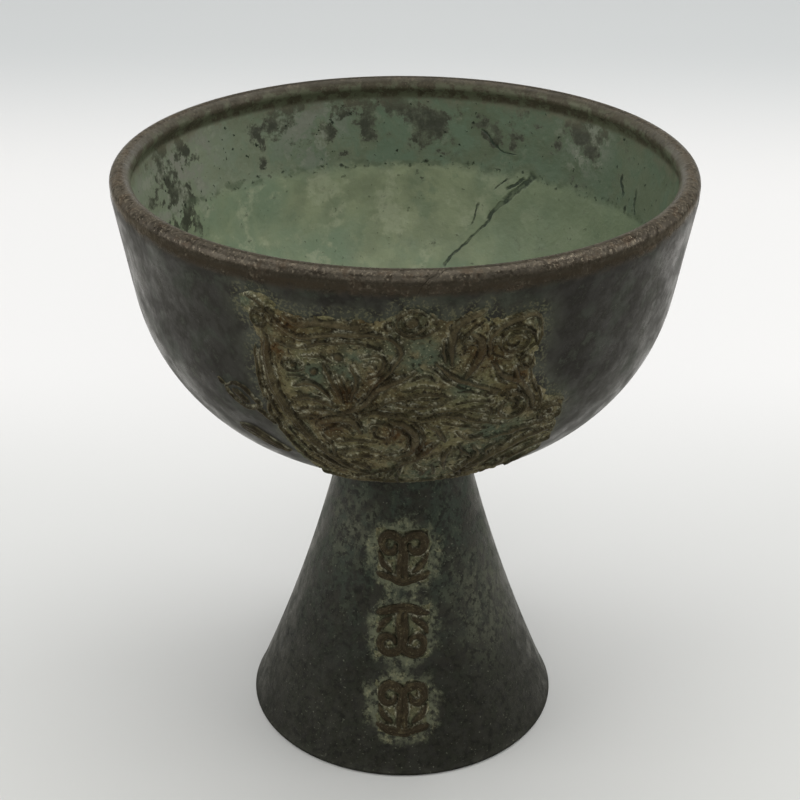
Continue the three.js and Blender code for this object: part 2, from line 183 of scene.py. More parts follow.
# A smooth random field from -1 to 1, with features of a given size, the same on every run
def roughField(x, y, size, seed):
    table = np.random.RandomState(seed).uniform(-1, 1, (128, 128))
    u, v = x / size, y / size
    i, j = np.floor(u).astype(int), np.floor(v).astype(int)
    s, t = u - i, v - j
    s, t = s * s * (3 - 2 * s), t * t * (3 - 2 * t)
    a, b = table[i % 128, j % 128], table[(i + 1) % 128, j % 128]
    c, d = table[i % 128, (j + 1) % 128], table[(i + 1) % 128, (j + 1) % 128]
    return (a * (1 - s) + b * s) * (1 - t) + (c * (1 - s) + d * s) * t


def smoothStep(value, low, high):
    share = np.clip((value - low) / (high - low), 0, 1)
    return share * share * (3 - 2 * share)


# The bowl: one line from the outside of the bottom over the lip to the inside of the bottom
def bowlProfile():
    underLip = lipHalfHeight / math.cos(wallLean)
    outside = []
    for down in np.linspace(bowlLength, underLip, bowlForm["outsideRows"]):
        r, z, lean = bowlOutside(down)
        outside.append((float(r), float(z)))
    outside[0] = (0.0, outside[0][1])
    start, end = math.radians(bowlForm["lipStart"]), math.pi + math.radians(bowlForm["lipTuck"])
    lip = []
    for angle in np.linspace(-start, end, bowlForm["lipRows"]):
        lip.append((lipRadius + lipHalfWidth * math.cos(angle), lipHeight + lipHalfHeight * math.sin(angle)))
    inside = []
    tide = bowlForm["tideDepth"]
    for down in np.linspace(underLip, bowlLength, bowlForm["insideRows"]):
        r, z, lean = bowlOutside(down)
        step = bowlForm["tideStep"] * float(smoothStep(down, tide - 0.6, tide + 0.5))
        thick = bowlForm["wall"] + step * float(1 - smoothStep(down, tide + 1, bowlForm["tideEnd"]))
        thick += bowlForm["lipFillet"] * float(1 - smoothStep(down, underLip, bowlForm["filletDepth"]))
        inside.append((float(r - thick * math.cos(lean)), float(z + thick * math.sin(lean))))
    inside[-1] = (0.0, inside[-1][1])
    return outside + lip + inside


def makeBowl():
    bowl = turnedPiece("bowlCasting", bowlProfile(), bowlForm["roundSteps"], False)
    x, y, z = vertexPlaces(bowl).T
    r = np.hypot(x, y)
    distance = np.full(len(r), 1e9)
    nearest = np.zeros(len(r))  # how far down from the lip the nearest place of the outside is
    for down in np.linspace(0, bowlLength, bowlForm["searchSteps"]):
        outR, outZ, _ = bowlOutside(down)
        away = np.hypot(r - outR, z - outZ)
        closer = away < distance
        distance[closer] = away[closer]
        nearest[closer] = down
    beadStart = lipHeight - lipHalfHeight + 0.3
    bead = z >= beadStart
    inside = (distance > bowlForm["wall"] / 2) & ~bead
    setShares(bowl, "inside", np.where(inside, 1.0, np.where(bead & (r < lipRadius - 0.5), 0.6, 0.0)))
    turn = np.arctan2(z - lipHeight, r - lipRadius) / math.pi
    turn = np.where((r < lipRadius) & (z < lipHeight), 1.0, np.clip(turn, 0, 1))
    setShares(bowl, "lipTurn", turn)  # 0 at the bead's widest line outside, 1 at its inner side
    edge = outlineDistance(np.arctan2(x, -y) * reliefForm["wrapRadius"], nearest, groundCurve)
    setShares(bowl, "stain", np.clip(1 + edge / reliefForm["stainReach"], 0, 1) * ~inside * ~bead)
    return bowl


# Generic cloud-head ornaments on the front of the foot
ornamentForm = {
    "count": 3, "baseGap": 5.2, "neckGap": 6.8, "between": 2.2, "width": 8.4, "stroke": 1.3,
    "rise": 0.55,           # of the strokes
    "noise": 0.11,          # of the crust
    "cell": 0.11,           # fineness of the carving
    "sunk": 0.4,            # how deep the back sits in the foot
    "margin": 0.6,          # round the ornament, where its crust runs out
    "keepAbove": -0.1,
    "stain": (0.45, 0.85),  # shares of its size between which the crust on the foot round it runs out
}
ornamentBand = (footHeight - footForm["seatGap"] - brazeForm["reach"] - ornamentForm["neckGap"]
                - ornamentForm["baseGap"])
ornamentHeight = (ornamentBand + ornamentForm["between"]) / ornamentForm["count"] - ornamentForm["between"]


def ornamentMiddle(index):
    return ornamentForm["baseGap"] + ornamentHeight / 2 + index * (ornamentHeight + ornamentForm["between"])


# The foot: hollow, standing on a flat ring
def makeFoot():
    outside, inside = [], []
    for height in np.linspace(footForm["edge"], footHeight, footForm["rows"]):
        r, lean = float(footOutside(height)), float(footLean(height))
        outside.append((r, float(height)))
        inside.append((r - footForm["wall"] / math.cos(lean), float(height)))
    inside[-1] = (inside[-1][0], bowlUnderside(inside[-1][0]))
    inside[0] = (inside[0][0], 0.0)
    corner = float(footOutside(0)) - footForm["edge"]
    edge = []
    for angle in np.linspace(-math.pi / 2, 0, footForm["edgeRows"]):
        edge.append((corner + footForm["edge"] * math.cos(angle), footForm["edge"] * (1 + math.sin(angle))))
    profile = edge[:-1] + outside + inside[::-1] + [edge[0]]
    foot = turnedPiece("footCasting", profile, footForm["roundSteps"], True)
    x, y, z = vertexPlaces(foot).T
    across = np.arctan2(x, -y) * np.hypot(x, y)
    near = np.zeros(len(z))
    for index in range(ornamentForm["count"]):
        away = np.hypot(across / ornamentForm["width"], (z - ornamentMiddle(index)) / ornamentHeight)
        near = np.maximum(near, 1 - smoothStep(away, *ornamentForm["stain"]))
    setShares(foot, "stain", near)
    return foot


# The fillet of filler metal in the corner under the bowl, with its back sunk into both castings
def makeBraze():
    low = footHeight - brazeForm["reach"]
    lowRadius = float(footOutside(low))
    outer = neckRadius + brazeForm["reach"]
    foot, bowl = np.array([lowRadius, low]), np.array([outer, bowlUnderside(outer)])
    corner = np.array([neckRadius + brazeForm["hollow"], footHeight])
    profile = []
    for share in np.linspace(0, 1, brazeForm["rows"]):
        r, z = (1 - share) ** 2 * foot + 2 * share * (1 - share) * corner + share ** 2 * bowl
        profile.append((r + brazeForm["proud"], z - brazeForm["proud"]))
    (neckIn, neckUp), (bowlIn, bowlUp) = brazeForm["sunkInNeck"], brazeForm["sunkInBowl"]
    profile += [(outer - bowlIn, bowlUnderside(outer) + bowlUp), (neckRadius - neckIn, footHeight + neckUp),
                (lowRadius - brazeForm["sunkInFoot"], low), profile[0]]
    return turnedPiece("brazeFillet", profile, brazeForm["roundSteps"], True)


# Drawing tools for the relief. All of it is drawn in millimetres across and down.
def smoothPath(points, closed=False, step=0.3):
    points = np.array(points, float)
    if closed:
        ring = np.vstack([points[-1], points, points[0], points[1]])
    else:
        ring = np.vstack([2 * points[0] - points[1], points, 2 * points[-1] - points[-2]])
    line = []
    for a, b, c, d in zip(ring, ring[1:], ring[2:], ring[3:]):
        count = max(2, int(np.hypot(*(c - b)) / step))
        for t in np.arange(count) / count:
            line.append(0.5 * (2 * b + (c - a) * t + (2 * a - 5 * b + 4 * c - d) * t ** 2
                               + (3 * b - a - 3 * c + d) * t ** 3))
    line.append(ring[-2])
    return np.array(line)


def curl(centre, outer, inner, turns, start, squash=1.0):
    count = max(4, int(abs(turns) * 10))
    shares = np.arange(count + 1) / count
    radius = outer + (inner - outer) * shares
    angle = start + turns * 2 * math.pi * shares
    return [(centre[0] + r * math.cos(a), centre[1] + r * squash * math.sin(a))
            for r, a in zip(radius, angle)]


def ring(centre, across, down):
    angles = np.arange(12) * math.pi / 6
    return [(centre[0] + across * math.cos(a), centre[1] + down * math.sin(a)) for a in angles]


# Distance of every point to a line of points, and how far along the line the nearest place is
def lineDistance(x, y, line):
    best = np.full(x.shape, 1e9)
    along = np.zeros(x.shape)
    lengths = np.hypot(*np.diff(line, axis=0).T)
    total = max(lengths.sum(), 1e-6)
    start = 0.0
    for (ax, ay), (bx, by), length in zip(line, line[1:], lengths):
        if length < 1e-9:
            continue
        t = np.clip(((x - ax) * (bx - ax) + (y - ay) * (by - ay)) / length ** 2, 0, 1)
        d = (x - ax - t * (bx - ax)) ** 2 + (y - ay - t * (by - ay)) ** 2
        closer = d < best
        best[closer] = d[closer]
        along[closer] = (start + t[closer] * length) / total
        start += length
    return np.sqrt(best), along


# Signed distance to an outline, positive inside
def outlineDistance(x, y, line):
    closed = np.vstack([line, line[0]])
    distance, _ = lineDistance(x, y, closed)
    inside = np.zeros(x.shape, bool)
    for (ax, ay), (bx, by) in zip(closed, closed[1:]):
        crosses = (ay > y) != (by > y)
        with np.errstate(divide="ignore", invalid="ignore"):
            inside ^= crosses & (x < (bx - ax) * (y - ay) / (by - ay) + ax)
    return np.where(inside, distance, -distance)


# The dragon relief
reliefForm = {
    "wrapRadius": 34.0,     # distances across are measured at this radius
    "ground": 0.45,         # height of the ground behind the figures
    "figure": 0.6,          # how far the strongest ridges rise above the ground
    "combPitch": 0.58,      # spacing of the fine lines chased alongside the ridges
    "cell": 0.125,          # fineness of the carving
    "sunk": 0.45,           # how deep its back sits in the bowl's wall
    "pastLip": 0.35,        # how far its top may stand out past the lip
    "noise": 0.2,           # of the crust, half of it on the ridges
    "comb": 0.06,           # depth of the chased lines
    "pitDepth": 0.4,
    "stainReach": 2.6,      # of the crust on the bowl round the relief
    "bounds": (-19.4, 21.4, 1.0, 36.0), "middle": (0.5, 17.5), "keepAbove": -0.2,
    "wispBounds": {"cloudWispUpper": (-24.2, -15.6, 15.4, 23.0),
                   "cloudWispLower": (-24.6, -15.2, 23.2, 30.4)},
    "wispCell": 0.12, "wispNoise": 0.14, "wispKeepAbove": -0.15,
}
# Shares that the carved pieces carry for their material
# The ridge-foot line and the hollows carry painted shade; the line beside a ridge, pale dirt and painted
# highlight
carvedShares = ("crest", "paleDirtAndHighlightEdge", "paintedCreviceShade", "hollow", "rim", "green", "rust", "pale", "bare")
groundOutline = [
    (-17.4, 2.2), (-14.6, 2.6), (-12, 4), (-8, 4), (-4.5, 3.8), (-1.8, 4.1), (-0.8, 2.5), (1.2, 1.9),
    (3, 2.7), (4.4, 3.9), (6.6, 3.2), (8.8, 2.6), (9.4, 4.6), (12, 4.2), (14.4, 3.9), (15.4, 6), (15.3, 10),
    (15.6, 13.8), (17.6, 16.6), (20.1, 18.6), (19.9, 21.5), (20.3, 26), (17, 29.4), (12, 32.2), (6, 34),
    (0, 34.8), (-6, 34.6), (-11.4, 33), (-14, 29), (-15.6, 24.4), (-16.8, 19.5), (-17.5, 15), (-17.4, 10.4),
    (-17, 7.8), (-18.4, 5),
]
groundCurve = smoothPath(groundOutline, True, 0.5)

# Each stroke has its points, its width and its height as a share of the strongest
strokes = {
    "backOuter": ([(-16.7, 9.4), (-16.9, 13), (-16.2, 17.5), (-15, 22), (-13.2, 26.4), (-10.4, 30)],
                  0.5, 0.7),
    "backMiddle": ([(-15, 7.8), (-15, 12), (-14.2, 16), (-12.6, 20), (-10.6, 23.8), (-8, 27.6)], 1.3, 1.0),
    "backInner": ([(-13.4, 19), (-12, 21.6), (-10, 25), (-7.2, 28.2), (-3.6, 30.4)], 0.56, 0.7),
    "backSeam": ([(-16, 9.8), (-16, 13), (-15.3, 17), (-14, 21), (-12, 25.4), (-9.4, 29)], 0.25, 0.5),
    "underTail": ([(-12.2, 31.4), (-8, 32.4), (-4, 32.6), (0, 32.2), (4.6, 31.8), (9, 30.8)], 0.62, 0.7),
    "crestCurl": (curl((-15.3, 5.9), 1.5, 0.6, -1.2, 0.4), 0.37, 0.8),
    "browUpper": ([(-14.4, 4.4), (-12.6, 6.5), (-10.6, 7.3), (-7.6, 6.6), (-4.4, 6.2), (-1.4, 6.7),
                   (-0.4, 8.4), (-1.2, 10.8), (-2.8, 12.9)], 0.62, 0.9),
    "browLower": ([(-13.6, 8.7), (-11, 8.6), (-8.4, 7.8), (-5, 7.4), (-2.4, 8.2)], 0.37, 0.7),
    "manePoint": ([(-12.6, 5), (-10.8, 5.8), (-9, 5.2), (-6.4, 5.3), (-3.4, 5.4)], 0.8, 0.8),
    "maneTip": ([(-16.8, 3.2), (-15.2, 3.8), (-14.6, 4.6)], 0.5, 0.5),
    "eyeRing": (ring((-12, 11.4), 1.2, 0.8), 0.26, 0.9),
    "jawUpper": ([(-8.6, 10.6), (-7.7, 13), (-6.6, 15.8)], 0.62, 0.9),
    "jawLower": ([(-5.7, 10.4), (-5.1, 12.6), (-5.7, 15.6)], 0.56, 0.9),
    "jawInner": ([(-7, 12), (-6.3, 13.8), (-6.1, 15.4)], 0.31, 0.5),
    "cheekUpper": ([(-12.2, 14.3), (-9.8, 13.6), (-8.1, 15.4)], 0.62, 0.8),
    "cheekLower": ([(-12.4, 16.2), (-10, 15.7), (-7.4, 16.7)], 0.62, 0.8),
    "cheekBase": ([(-12.4, 17.9), (-9.8, 17.3), (-7.2, 17.4)], 0.37, 0.6),
    "cheekHair": ([(-12.8, 13), (-11.2, 12.9), (-9.8, 13.2)], 0.31, 0.5),
    "faceRidge": ([(-4.6, 9.4), (-3, 8.8), (-1.9, 9.8), (-2.6, 11.4), (-4, 12.4)], 0.43, 0.6),
    "faceInner": ([(-4.2, 10.4), (-3.2, 10), (-2.9, 10.8)], 0.31, 0.5),
    "neckRidge": ([(-6.8, 17.4), (-4.4, 16), (-3, 14), (-1, 12.6), (1.3, 11.2)], 0.62, 0.9),
    "neckSecond": ([(-5, 16), (-3.6, 14), (-2.6, 12.8), (-1.2, 11.8)], 0.31, 0.6),
    "leafUpper": ([(-4.8, 17.2), (-2, 15.5), (0.6, 14.6), (2.8, 14.1), (5.2, 14.9)], 0.43, 0.9),
    "leafLower": ([(-1, 15.8), (1.6, 16), (3.6, 15.7), (5.4, 14.8)], 0.37, 0.9),
    "leafVein": ([(0.4, 15.3), (2, 15), (3.8, 14.9)], 0.22, 0.4),
    "leafSecond": ([(-0.2, 13.8), (1.6, 13.2), (3.4, 13.4)], 0.31, 0.5),
    "longFold": ([(-5.6, 18.4), (-3.4, 17.1), (-0.6, 17.3), (2, 18), (5, 17.3), (8, 18.7), (11.4, 19.8)],
                 0.43, 0.9),
    "longSecond": ([(-3.4, 16.4), (-0.4, 16.5), (2.4, 17.2), (4.8, 16.6), (7.6, 17.1), (10.4, 18)],
                   0.31, 0.7),
    "longThird": ([(4.4, 18.6), (6.8, 19.4), (9.8, 20.4)], 0.31, 0.6),
    "shoulder": ([(-10.2, 20), (-8.2, 18.5), (-6, 18.5), (-5, 20.6)], 1.05, 1.0),
    "shoulderRim": ([(-10.8, 19.2), (-8.4, 17.7), (-5.6, 17.8), (-4.3, 20.2)], 0.3, 0.7),
    "shoulderFold": ([(-9.6, 21), (-8, 19.6), (-6.6, 19.6), (-5.9, 21)], 0.3, 0.6),
    "coil": ([(-1.6, 18.2), (0.3, 19.2), (1.4, 21.2), (0.8, 23.8), (-1.4, 25.4)], 0.95, 1.0),
    "coilRim": ([(-1.2, 17.4), (1, 18.4), (2.3, 21.1), (1.6, 24.2), (-0.7, 26)], 0.3, 0.7),
    "coilFold": ([(-1.9, 19.1), (-0.3, 20), (0.6, 21.4), (0, 23.4), (-1.9, 24.7)], 0.3, 0.6),
    "coilInner": (curl((-2.6, 20.2), 1.9, 0.7, 1.0, 3.4), 0.37, 0.8),
    "hindLeaf": ([(2.4, 18.6), (3.8, 19.8), (4.9, 22)], 0.68, 0.9),
    "foldUpper": ([(-7.8, 22.4), (-5.6, 21.8), (-3.2, 22.2)], 0.43, 0.7),
    "foldLower": ([(-8.2, 24.2), (-5.4, 23.4), (-2.8, 23.9)], 0.56, 0.8),
    "foldThird": ([(-7.6, 25.8), (-5.2, 25), (-3, 25.2)], 0.43, 0.6),
    "bellyA": ([(-9.8, 21.6), (-8.6, 23.4), (-8.8, 25.6), (-7.6, 27)], 0.43, 0.6),
    "bellyB": ([(-6.8, 26.6), (-5.2, 27.2), (-4.4, 28.8)], 0.56, 0.7),
    "legFront": ([(3.9, 22.2), (2.4, 24.4), (0.4, 26), (-1.2, 27.6)], 0.81, 0.9),
    "legBack": ([(5.6, 23.2), (5, 25.6), (5.4, 28.2)], 0.7, 0.9),
    "claw": ([(1.4, 27.4), (2.6, 28.6), (2.4, 30.2)], 0.56, 0.7),
    "clawSecond": ([(3.4, 27.2), (4, 29), (3.6, 30.6)], 0.43, 0.6),
    "rootA": ([(-1.2, 27.4), (-3, 29.8), (-5, 31.8)], 0.37, 0.8),
    "rootB": ([(-0.8, 27.6), (-2, 30.2), (-3, 32.4)], 0.37, 0.8),
    "rootC": ([(-0.4, 27.6), (-0.8, 30.2), (-1, 32.8)], 0.37, 0.8),
    "rootD": ([(-1.6, 27.8), (-4.4, 29.6), (-7.4, 30.8)], 0.37, 0.7),
    "pearlRing": (ring((0.8, 4.6), 1.5, 1.3), 0.37, 0.9),
    "pearlWing": ([(-1.2, 5), (0.2, 6.2), (1.8, 6.3), (3.6, 5.4)], 0.37, 0.8),
    "pearlLeft": (curl((-1.3, 5), 0.7, 0.4, 0.8, 0), 0.28, 0.6),
    "pearlRight": ([(2.3, 3.6), (3.1, 4.2), (3.4, 5)], 0.31, 0.7),
    "flameTall": ([(5.1, 10.4), (4.8, 7.6), (5.6, 5), (8.7, 3.5)], 0.81, 1.0),
    "flameShort": ([(6.4, 12.2), (7.9, 10), (8, 7.6), (6.8, 6.2)], 0.95, 0.9),
    "flameEdge": ([(6.3, 9), (6.3, 7), (7, 5.6), (8.4, 4.9)], 0.28, 0.6),
    "flameRing": (ring((6.6, 6.9), 0.7, 0.65), 0.25, 0.9),
    "cloudCollar": ([(9, 9.6), (9, 7), (11, 5.4), (13.6, 4.9), (14.9, 6.6), (14.6, 9.2)], 0.68, 0.9),
    "cloudCurl": (curl((11.8, 7.9), 2.5, 0.6, -2.1, 1.2, 0.8), 0.31, 0.9),
    "cloudRim": (curl((11.6, 7.9), 2.75, 2.75, 0.8, 0.9, 0.8), 0.22, 0.8),
    "smallCurl": (curl((13.3, 10.9), 1.0, 0.4, 1.3, 0), 0.31, 0.8),
    "cloudStem": ([(9.4, 10.4), (10.6, 12.4), (12.6, 13.4), (14.2, 15.6), (14.9, 18.2)], 0.68, 0.9),
    "cloudLeft": ([(9.8, 10.6), (10.2, 12.6), (11.4, 13.8)], 0.31, 0.7),
    "spark": ([(12, 11.6), (12.5, 12.8), (13.1, 13.5)], 0.5, 0.8),
    "sideRidgeA": ([(14.4, 11.6), (14.5, 13.6), (15.2, 15.8)], 0.37, 0.7),
    "sideRidgeB": ([(15.4, 15.4), (15.8, 17), (15.4, 18.8)], 0.43, 0.7),
    "groundFold": ([(3.4, 9.8), (5.2, 12), (8, 13.6), (10.6, 14.6)], 0.68, 0.8),
    "groundLine": ([(2.8, 10.4), (4.4, 12.4), (6.6, 14)], 0.28, 0.5),
    "groundKnot": ([(4, 7), (4.1, 8.6), (4.4, 10)], 0.43, 0.7),
    "farFoldA": ([(5.6, 15.8), (8, 15.6), (10, 16)], 0.31, 0.6),
    "farFoldB": ([(5.8, 14.2), (8.2, 14.6), (9.4, 15.2)], 0.25, 0.5),
    "bigCurl": (curl((12.1, 17.2), 2.3, 0.6, 1.5, -2.2), 0.4, 0.9),
    "eyeLeaf": (ring((17.5, 19.4), 1.6, 1.1), 0.37, 0.9),
    "eyeLeafRim": ([(15.2, 18.8), (17, 17.8), (19, 18), (19.8, 19), (19, 20.4), (17.4, 21.1)], 0.31, 0.8),
    "leafTail": ([(18.2, 21.2), (15.4, 20.9), (12.6, 21.6), (9.6, 22)], 0.5, 0.8),
    "leafTailLow": ([(17.2, 22), (14.6, 21.9), (12.2, 22.8)], 0.28, 0.6),
    "sweepA": ([(19.2, 22.6), (15.8, 23), (13, 24.6), (10.2, 27), (8.2, 29.4)], 0.74, 0.9),
    "sweepB": ([(19.6, 24.9), (16.4, 25.6), (13.4, 27.8), (11, 30.4)], 0.68, 0.9),
    "sweepC": ([(8.4, 23.2), (9.4, 25), (8, 27.4), (7.2, 29.6)], 0.68, 0.8),
    "sweepD": ([(19.4, 26.8), (17, 27.8), (14.6, 29.8)], 0.5, 0.7),
    "sweepFine": ([(18.4, 23.9), (15.6, 24.4), (13, 26.2), (10.8, 28.6)], 0.25, 0.5),
    "sweepHook": ([(11.4, 23.2), (10.4, 24.6), (11, 26)], 0.5, 0.7),
    "midKnot": ([(6.2, 20.6), (7.6, 21.8), (9.2, 21.2)], 0.5, 0.7),
    "midKnotLow": ([(6.6, 22.8), (7.2, 24.6), (6.8, 26.4)], 0.37, 0.6),
    "topHair": ([(-6.4, 4.6), (-5.6, 5.2), (-4.4, 5.8), (-3, 5.6)], 0.35, 0.7),
    "topTuft": ([(-9.6, 4.4), (-8.6, 5.1), (-7.6, 4.8)], 0.35, 0.6),
    "bellyLong": ([(-13.4, 21), (-11, 22.8), (-9.4, 24.8), (-9, 27)], 0.4, 0.7),
    "bellyLow": ([(-12, 24.4), (-10.2, 26.4), (-8, 28.4), (-5, 29.8)], 0.45, 0.7),
    "hindFold": ([(6.2, 23.4), (7.8, 24.8), (8.8, 26.6)], 0.4, 0.7),
    "hindLow": ([(6.4, 28), (8, 29.8), (7.4, 31.4)], 0.4, 0.6),
    "sweepInner": ([(13.4, 22.6), (12, 24.4), (10.2, 26.6), (8.2, 28.4)], 0.35, 0.7),
    "neckFar": ([(0.6, 12.4), (2.2, 11.8), (3.2, 12.6)], 0.3, 0.6),
    "faceHair": ([(-11, 9.9), (-9, 9.6), (-7.8, 10.4)], 0.3, 0.5),
    "cheekFold": ([(-12.6, 19.2), (-11, 18.4), (-9.6, 18.6)], 0.35, 0.6),
    "farLeaf": ([(7, 16.8), (9, 16.6), (10, 17.6), (9.2, 18.4)], 0.3, 0.6),
}
wisps = {
    "wispRing": ([(-22.2, 17.7), (-20.9, 16.8), (-19.3, 17), (-18.2, 18.1), (-17.7, 19.3), (-19.3, 20.2),
                  (-20.8, 19.7), (-21.9, 18.7), (-22.2, 17.7)], 0.4, 0.5),
    "wispEye": ([(-21.1, 17.9), (-20.2, 18.5), (-19.3, 19.2)], 0.7, 0.5),
    "wispTail": ([(-18.2, 19.6), (-17.2, 20.6), (-16.2, 22)], 0.5, 0.5),
    "wispTip": ([(-22.2, 17.4), (-23, 16.8)], 0.3, 0.4),
    "hornBody": ([(-22.8, 25), (-21.2, 25.1), (-19.4, 26), (-17.8, 27.4), (-16.4, 28.4)], 1.5, 0.7),
    "hornRim": ([(-23, 25.6), (-21.6, 26.3), (-20, 27.4), (-18, 28.8)], 0.3, 0.4),
}
# Round knobs: middle, radius and height share
reliefKnobs = [
    ((0.8, 4.6), 0.6, 1.0), ((-12, 11.4), 0.35, 0.8), ((-9.7, 11.9), 0.5, 0.9), ((-7, 9.6), 0.5, 0.8),
    ((9.8, 14.6), 0.55, 0.9), ((8.9, 21.6), 0.4, 0.5), ((-3.4, 19.6), 0.4, 0.5), ((17.5, 19.4), 0.4, 0.6),
]
# Small round pits left by gas in the casting: middle and radius
gasPits = [((8.4, 26), 0.45), ((14.8, 25.7), 0.4), ((13.8, 27.4), 0.45), ((11.8, 29), 0.5),
           ((-16.1, 9.9), 0.35), ((2.9, 20.6), 0.35), ((-10.2, 11.1), 0.25), ((4.6, 28.2), 0.35)]


# How a ridge is cut by hand, in millimetres
ridgeForm = {
    "waver": ((0.16, 1.7), (0.07, 0.6)),    # how far it strays from its line, each over a length
    "tip": 0.35,            # share of its width that is left at its two ends
    "crown": 0.35,          # how square its crown is: 0.5 is round, 0 flat
    "flutedFrom": 0.9,      # width from which it is fluted along its run
    "flutePitch": 0.5, "fluteDepth": 0.3,
    "margin": 2.4,          # how far beside it its distance is worked out
}


# Height of the ridges above the ground, and the distance to the nearest ridge's edge, negative on a ridge
def figureField(x, y, lines, knobs, rise, seed=70):
    height = np.zeros(x.shape)
    beside = np.full(x.shape, 9.0)
    (wide, length), (fine, short) = ridgeForm["waver"]
    x, y = (x + wide * roughField(x, y, length, seed) + fine * roughField(x, y, short, seed + 1),
            y + wide * roughField(x, y, length, seed + 2) + fine * roughField(x, y, short, seed + 3))
    for points, width, share in lines.values():
        line = smoothPath(points)
        pad = width + ridgeForm["margin"]
        near = ((x > line[:, 0].min() - pad) & (x < line[:, 0].max() + pad)
                & (y > line[:, 1].min() - pad) & (y < line[:, 1].max() + pad))
        distance, along = lineDistance(x[near], y[near], line)
        tip = ridgeForm["tip"]
        swell = tip + (1 - tip) * np.sqrt(np.clip(np.sin(math.pi * np.clip(along, 0, 1)), 0, 1))
        half = width / 2 * swell
        crown = np.clip(1 - (distance / half) ** 2, 0, 1) ** ridgeForm["crown"]
        flute = 0.5 - 0.5 * np.cos(2 * math.pi * distance / ridgeForm["flutePitch"])
        flute = 1 - ridgeForm["fluteDepth"] * flute * (width > ridgeForm["flutedFrom"])
        height[near] = np.maximum(height[near], rise * share * (0.5 + 0.5 * swell) * crown * flute)
        beside[near] = np.minimum(beside[near], distance - half)
    for (cx, cy), radius, share in knobs:
        distance = np.hypot(x - cx, y - cy)
        height = np.maximum(height, rise * share * np.clip(1 - (distance / radius) ** 2, 0, 1) ** 0.5)
        beside = np.minimum(beside, distance - radius)
    return height, beside


def blurred(field, cells):
    kernel = np.exp(-0.5 * (np.arange(-3 * cells, 3 * cells + 1) / cells) ** 2)
    kernel /= kernel.sum()
    padded = np.pad(field, 3 * cells, mode="edge")
    rows = np.apply_along_axis(lambda line: np.convolve(line, kernel, "valid"), 0, padded)
    return np.apply_along_axis(lambda line: np.convolve(line, kernel, "valid"), 1, rows)


def onBowl(across, down, out):
    r, z, lean = bowlOutside(down)
    angle = across / reliefForm["wrapRadius"]
    radius = np.minimum(r + out * np.cos(lean), bowlForm["mouth"] / 2 + reliefForm["pastLip"])
    return np.stack([radius * np.sin(angle), -radius * np.cos(angle), z - out * np.sin(lean)], -1)


def onFoot(across, height, out):
    lean = footLean(height)
    angle = across / footOutside(height)
    radius = footOutside(height) + out * np.cos(lean)
    return np.stack([radius * np.sin(angle), -radius * np.cos(angle), height + out * np.sin(lean)], -1)


# A carved sheet: a grid laid on the casting, kept where it stands high enough, closed with a back in the wall
def carvedSheet(name, bounds, cell, field, place, keepAbove, sunk, middle=None):
    x0, x1, y0, y1 = bounds
    countX, countY = int((x1 - x0) / cell), int((y1 - y0) / cell)
    piece = added(bpy.ops.mesh.primitive_grid_add, name, x_subdivisions=countX, y_subdivisions=countY, size=1)
    piece.data.name = name
    x, y = np.meshgrid(np.linspace(x0, x1, countX + 1), np.linspace(y0, y1, countY + 1))
    height, shares = field(x, y)
    setPlaces(piece, place(x, y, height).reshape(-1, 3))
    for key in carvedShares:
        setShares(piece, key, np.broadcast_to(shares.get(key, 0.0), x.shape).ravel())
    setShares(piece, "drawnX", x.ravel())
    setShares(piece, "drawnY", y.ravel())
    sheet = bmesh.new()
    sheet.from_mesh(piece.data)
    sheet.verts.ensure_lookup_table()
    kept = height.ravel() > keepAbove
    drop = [f for f in sheet.faces if not all(kept[v.index] for v in f.verts)]
    bmesh.ops.delete(sheet, geom=drop, context="FACES")
    keepLargestIsland(sheet)
    closeBack(sheet, place, sunk, middle)
    bmesh.ops.recalc_face_normals(sheet, faces=sheet.faces)
    for face in sheet.faces:
        face.smooth = True
    sheet.to_mesh(piece.data)
    sheet.free()
    piece.data.update()
    return piece


def keepLargestIsland(sheet):
    islands = []
    seen = set()
    for first in sheet.faces:
        island = [] if first in seen else [first]
        seen.update(island)
        for face in island:
            near = {other: None for edge in face.edges for other in edge.link_faces if other not in seen}
            seen.update(near)
            island.extend(near)
        islands.append(island)
    largest = max(islands, key=len)
    bmesh.ops.delete(sheet, geom=[face for island in islands if island is not largest for face in island],
                     context="FACES")
    pinched = [v for v in sheet.verts if sum(e.is_boundary for e in v.link_edges) > 2]
    bmesh.ops.delete(sheet, geom=pinched, context="VERTS")
    loose = [v for v in sheet.verts if not v.link_faces]
    bmesh.ops.delete(sheet, geom=loose, context="VERTS")


# With a middle the back is drawn in rings towards it, else it is a copy of the front
def closeBack(sheet, place, sunk, middle):
    drawnX, drawnY = sheet.verts.layers.float["drawnX"], sheet.verts.layers.float["drawnY"]
    rim = [e for e in sheet.edges if e.is_boundary]

    def backVertex(x, y):
        return sheet.verts.new(place(np.array(x), np.array(y), np.array(-sunk)) * mm)

    if middle is None:
        front = list(sheet.faces)
        back = {vert: backVertex(vert[drawnX], vert[drawnY]) for vert in list(sheet.verts)}
        for face in front:
            sheet.faces.new([back[v] for v in reversed(face.verts)])
        for edge in rim:
            a, b = edge.verts
            sheet.faces.new([a, b, back[b], back[a]])
        return
    shares = [1, 0.8, 0.6, 0.4, 0.2, 0.06]
    rings = {}
    for edge in rim:
        for vert in edge.verts:
            if vert in rings:
                continue
            x, y = vert[drawnX] - middle[0], vert[drawnY] - middle[1]
            rings[vert] = [vert] + [backVertex(middle[0] + x * s, middle[1] + y * s) for s in shares]
    hub = backVertex(*middle)
    for edge in rim:
        a, b = (rings[v] for v in edge.verts)
        for k in range(len(shares)):
            sheet.faces.new([a[k], b[k], b[k + 1], a[k + 1]])
        sheet.faces.new([a[-1], b[-1], hub])


def crust(x, y, seed):
    return (0.4 * roughField(x, y, 1.1, seed) + 0.35 * roughField(x, y, 0.5, seed + 1)
            + 0.25 * roughField(x, y, 0.27, seed + 2))


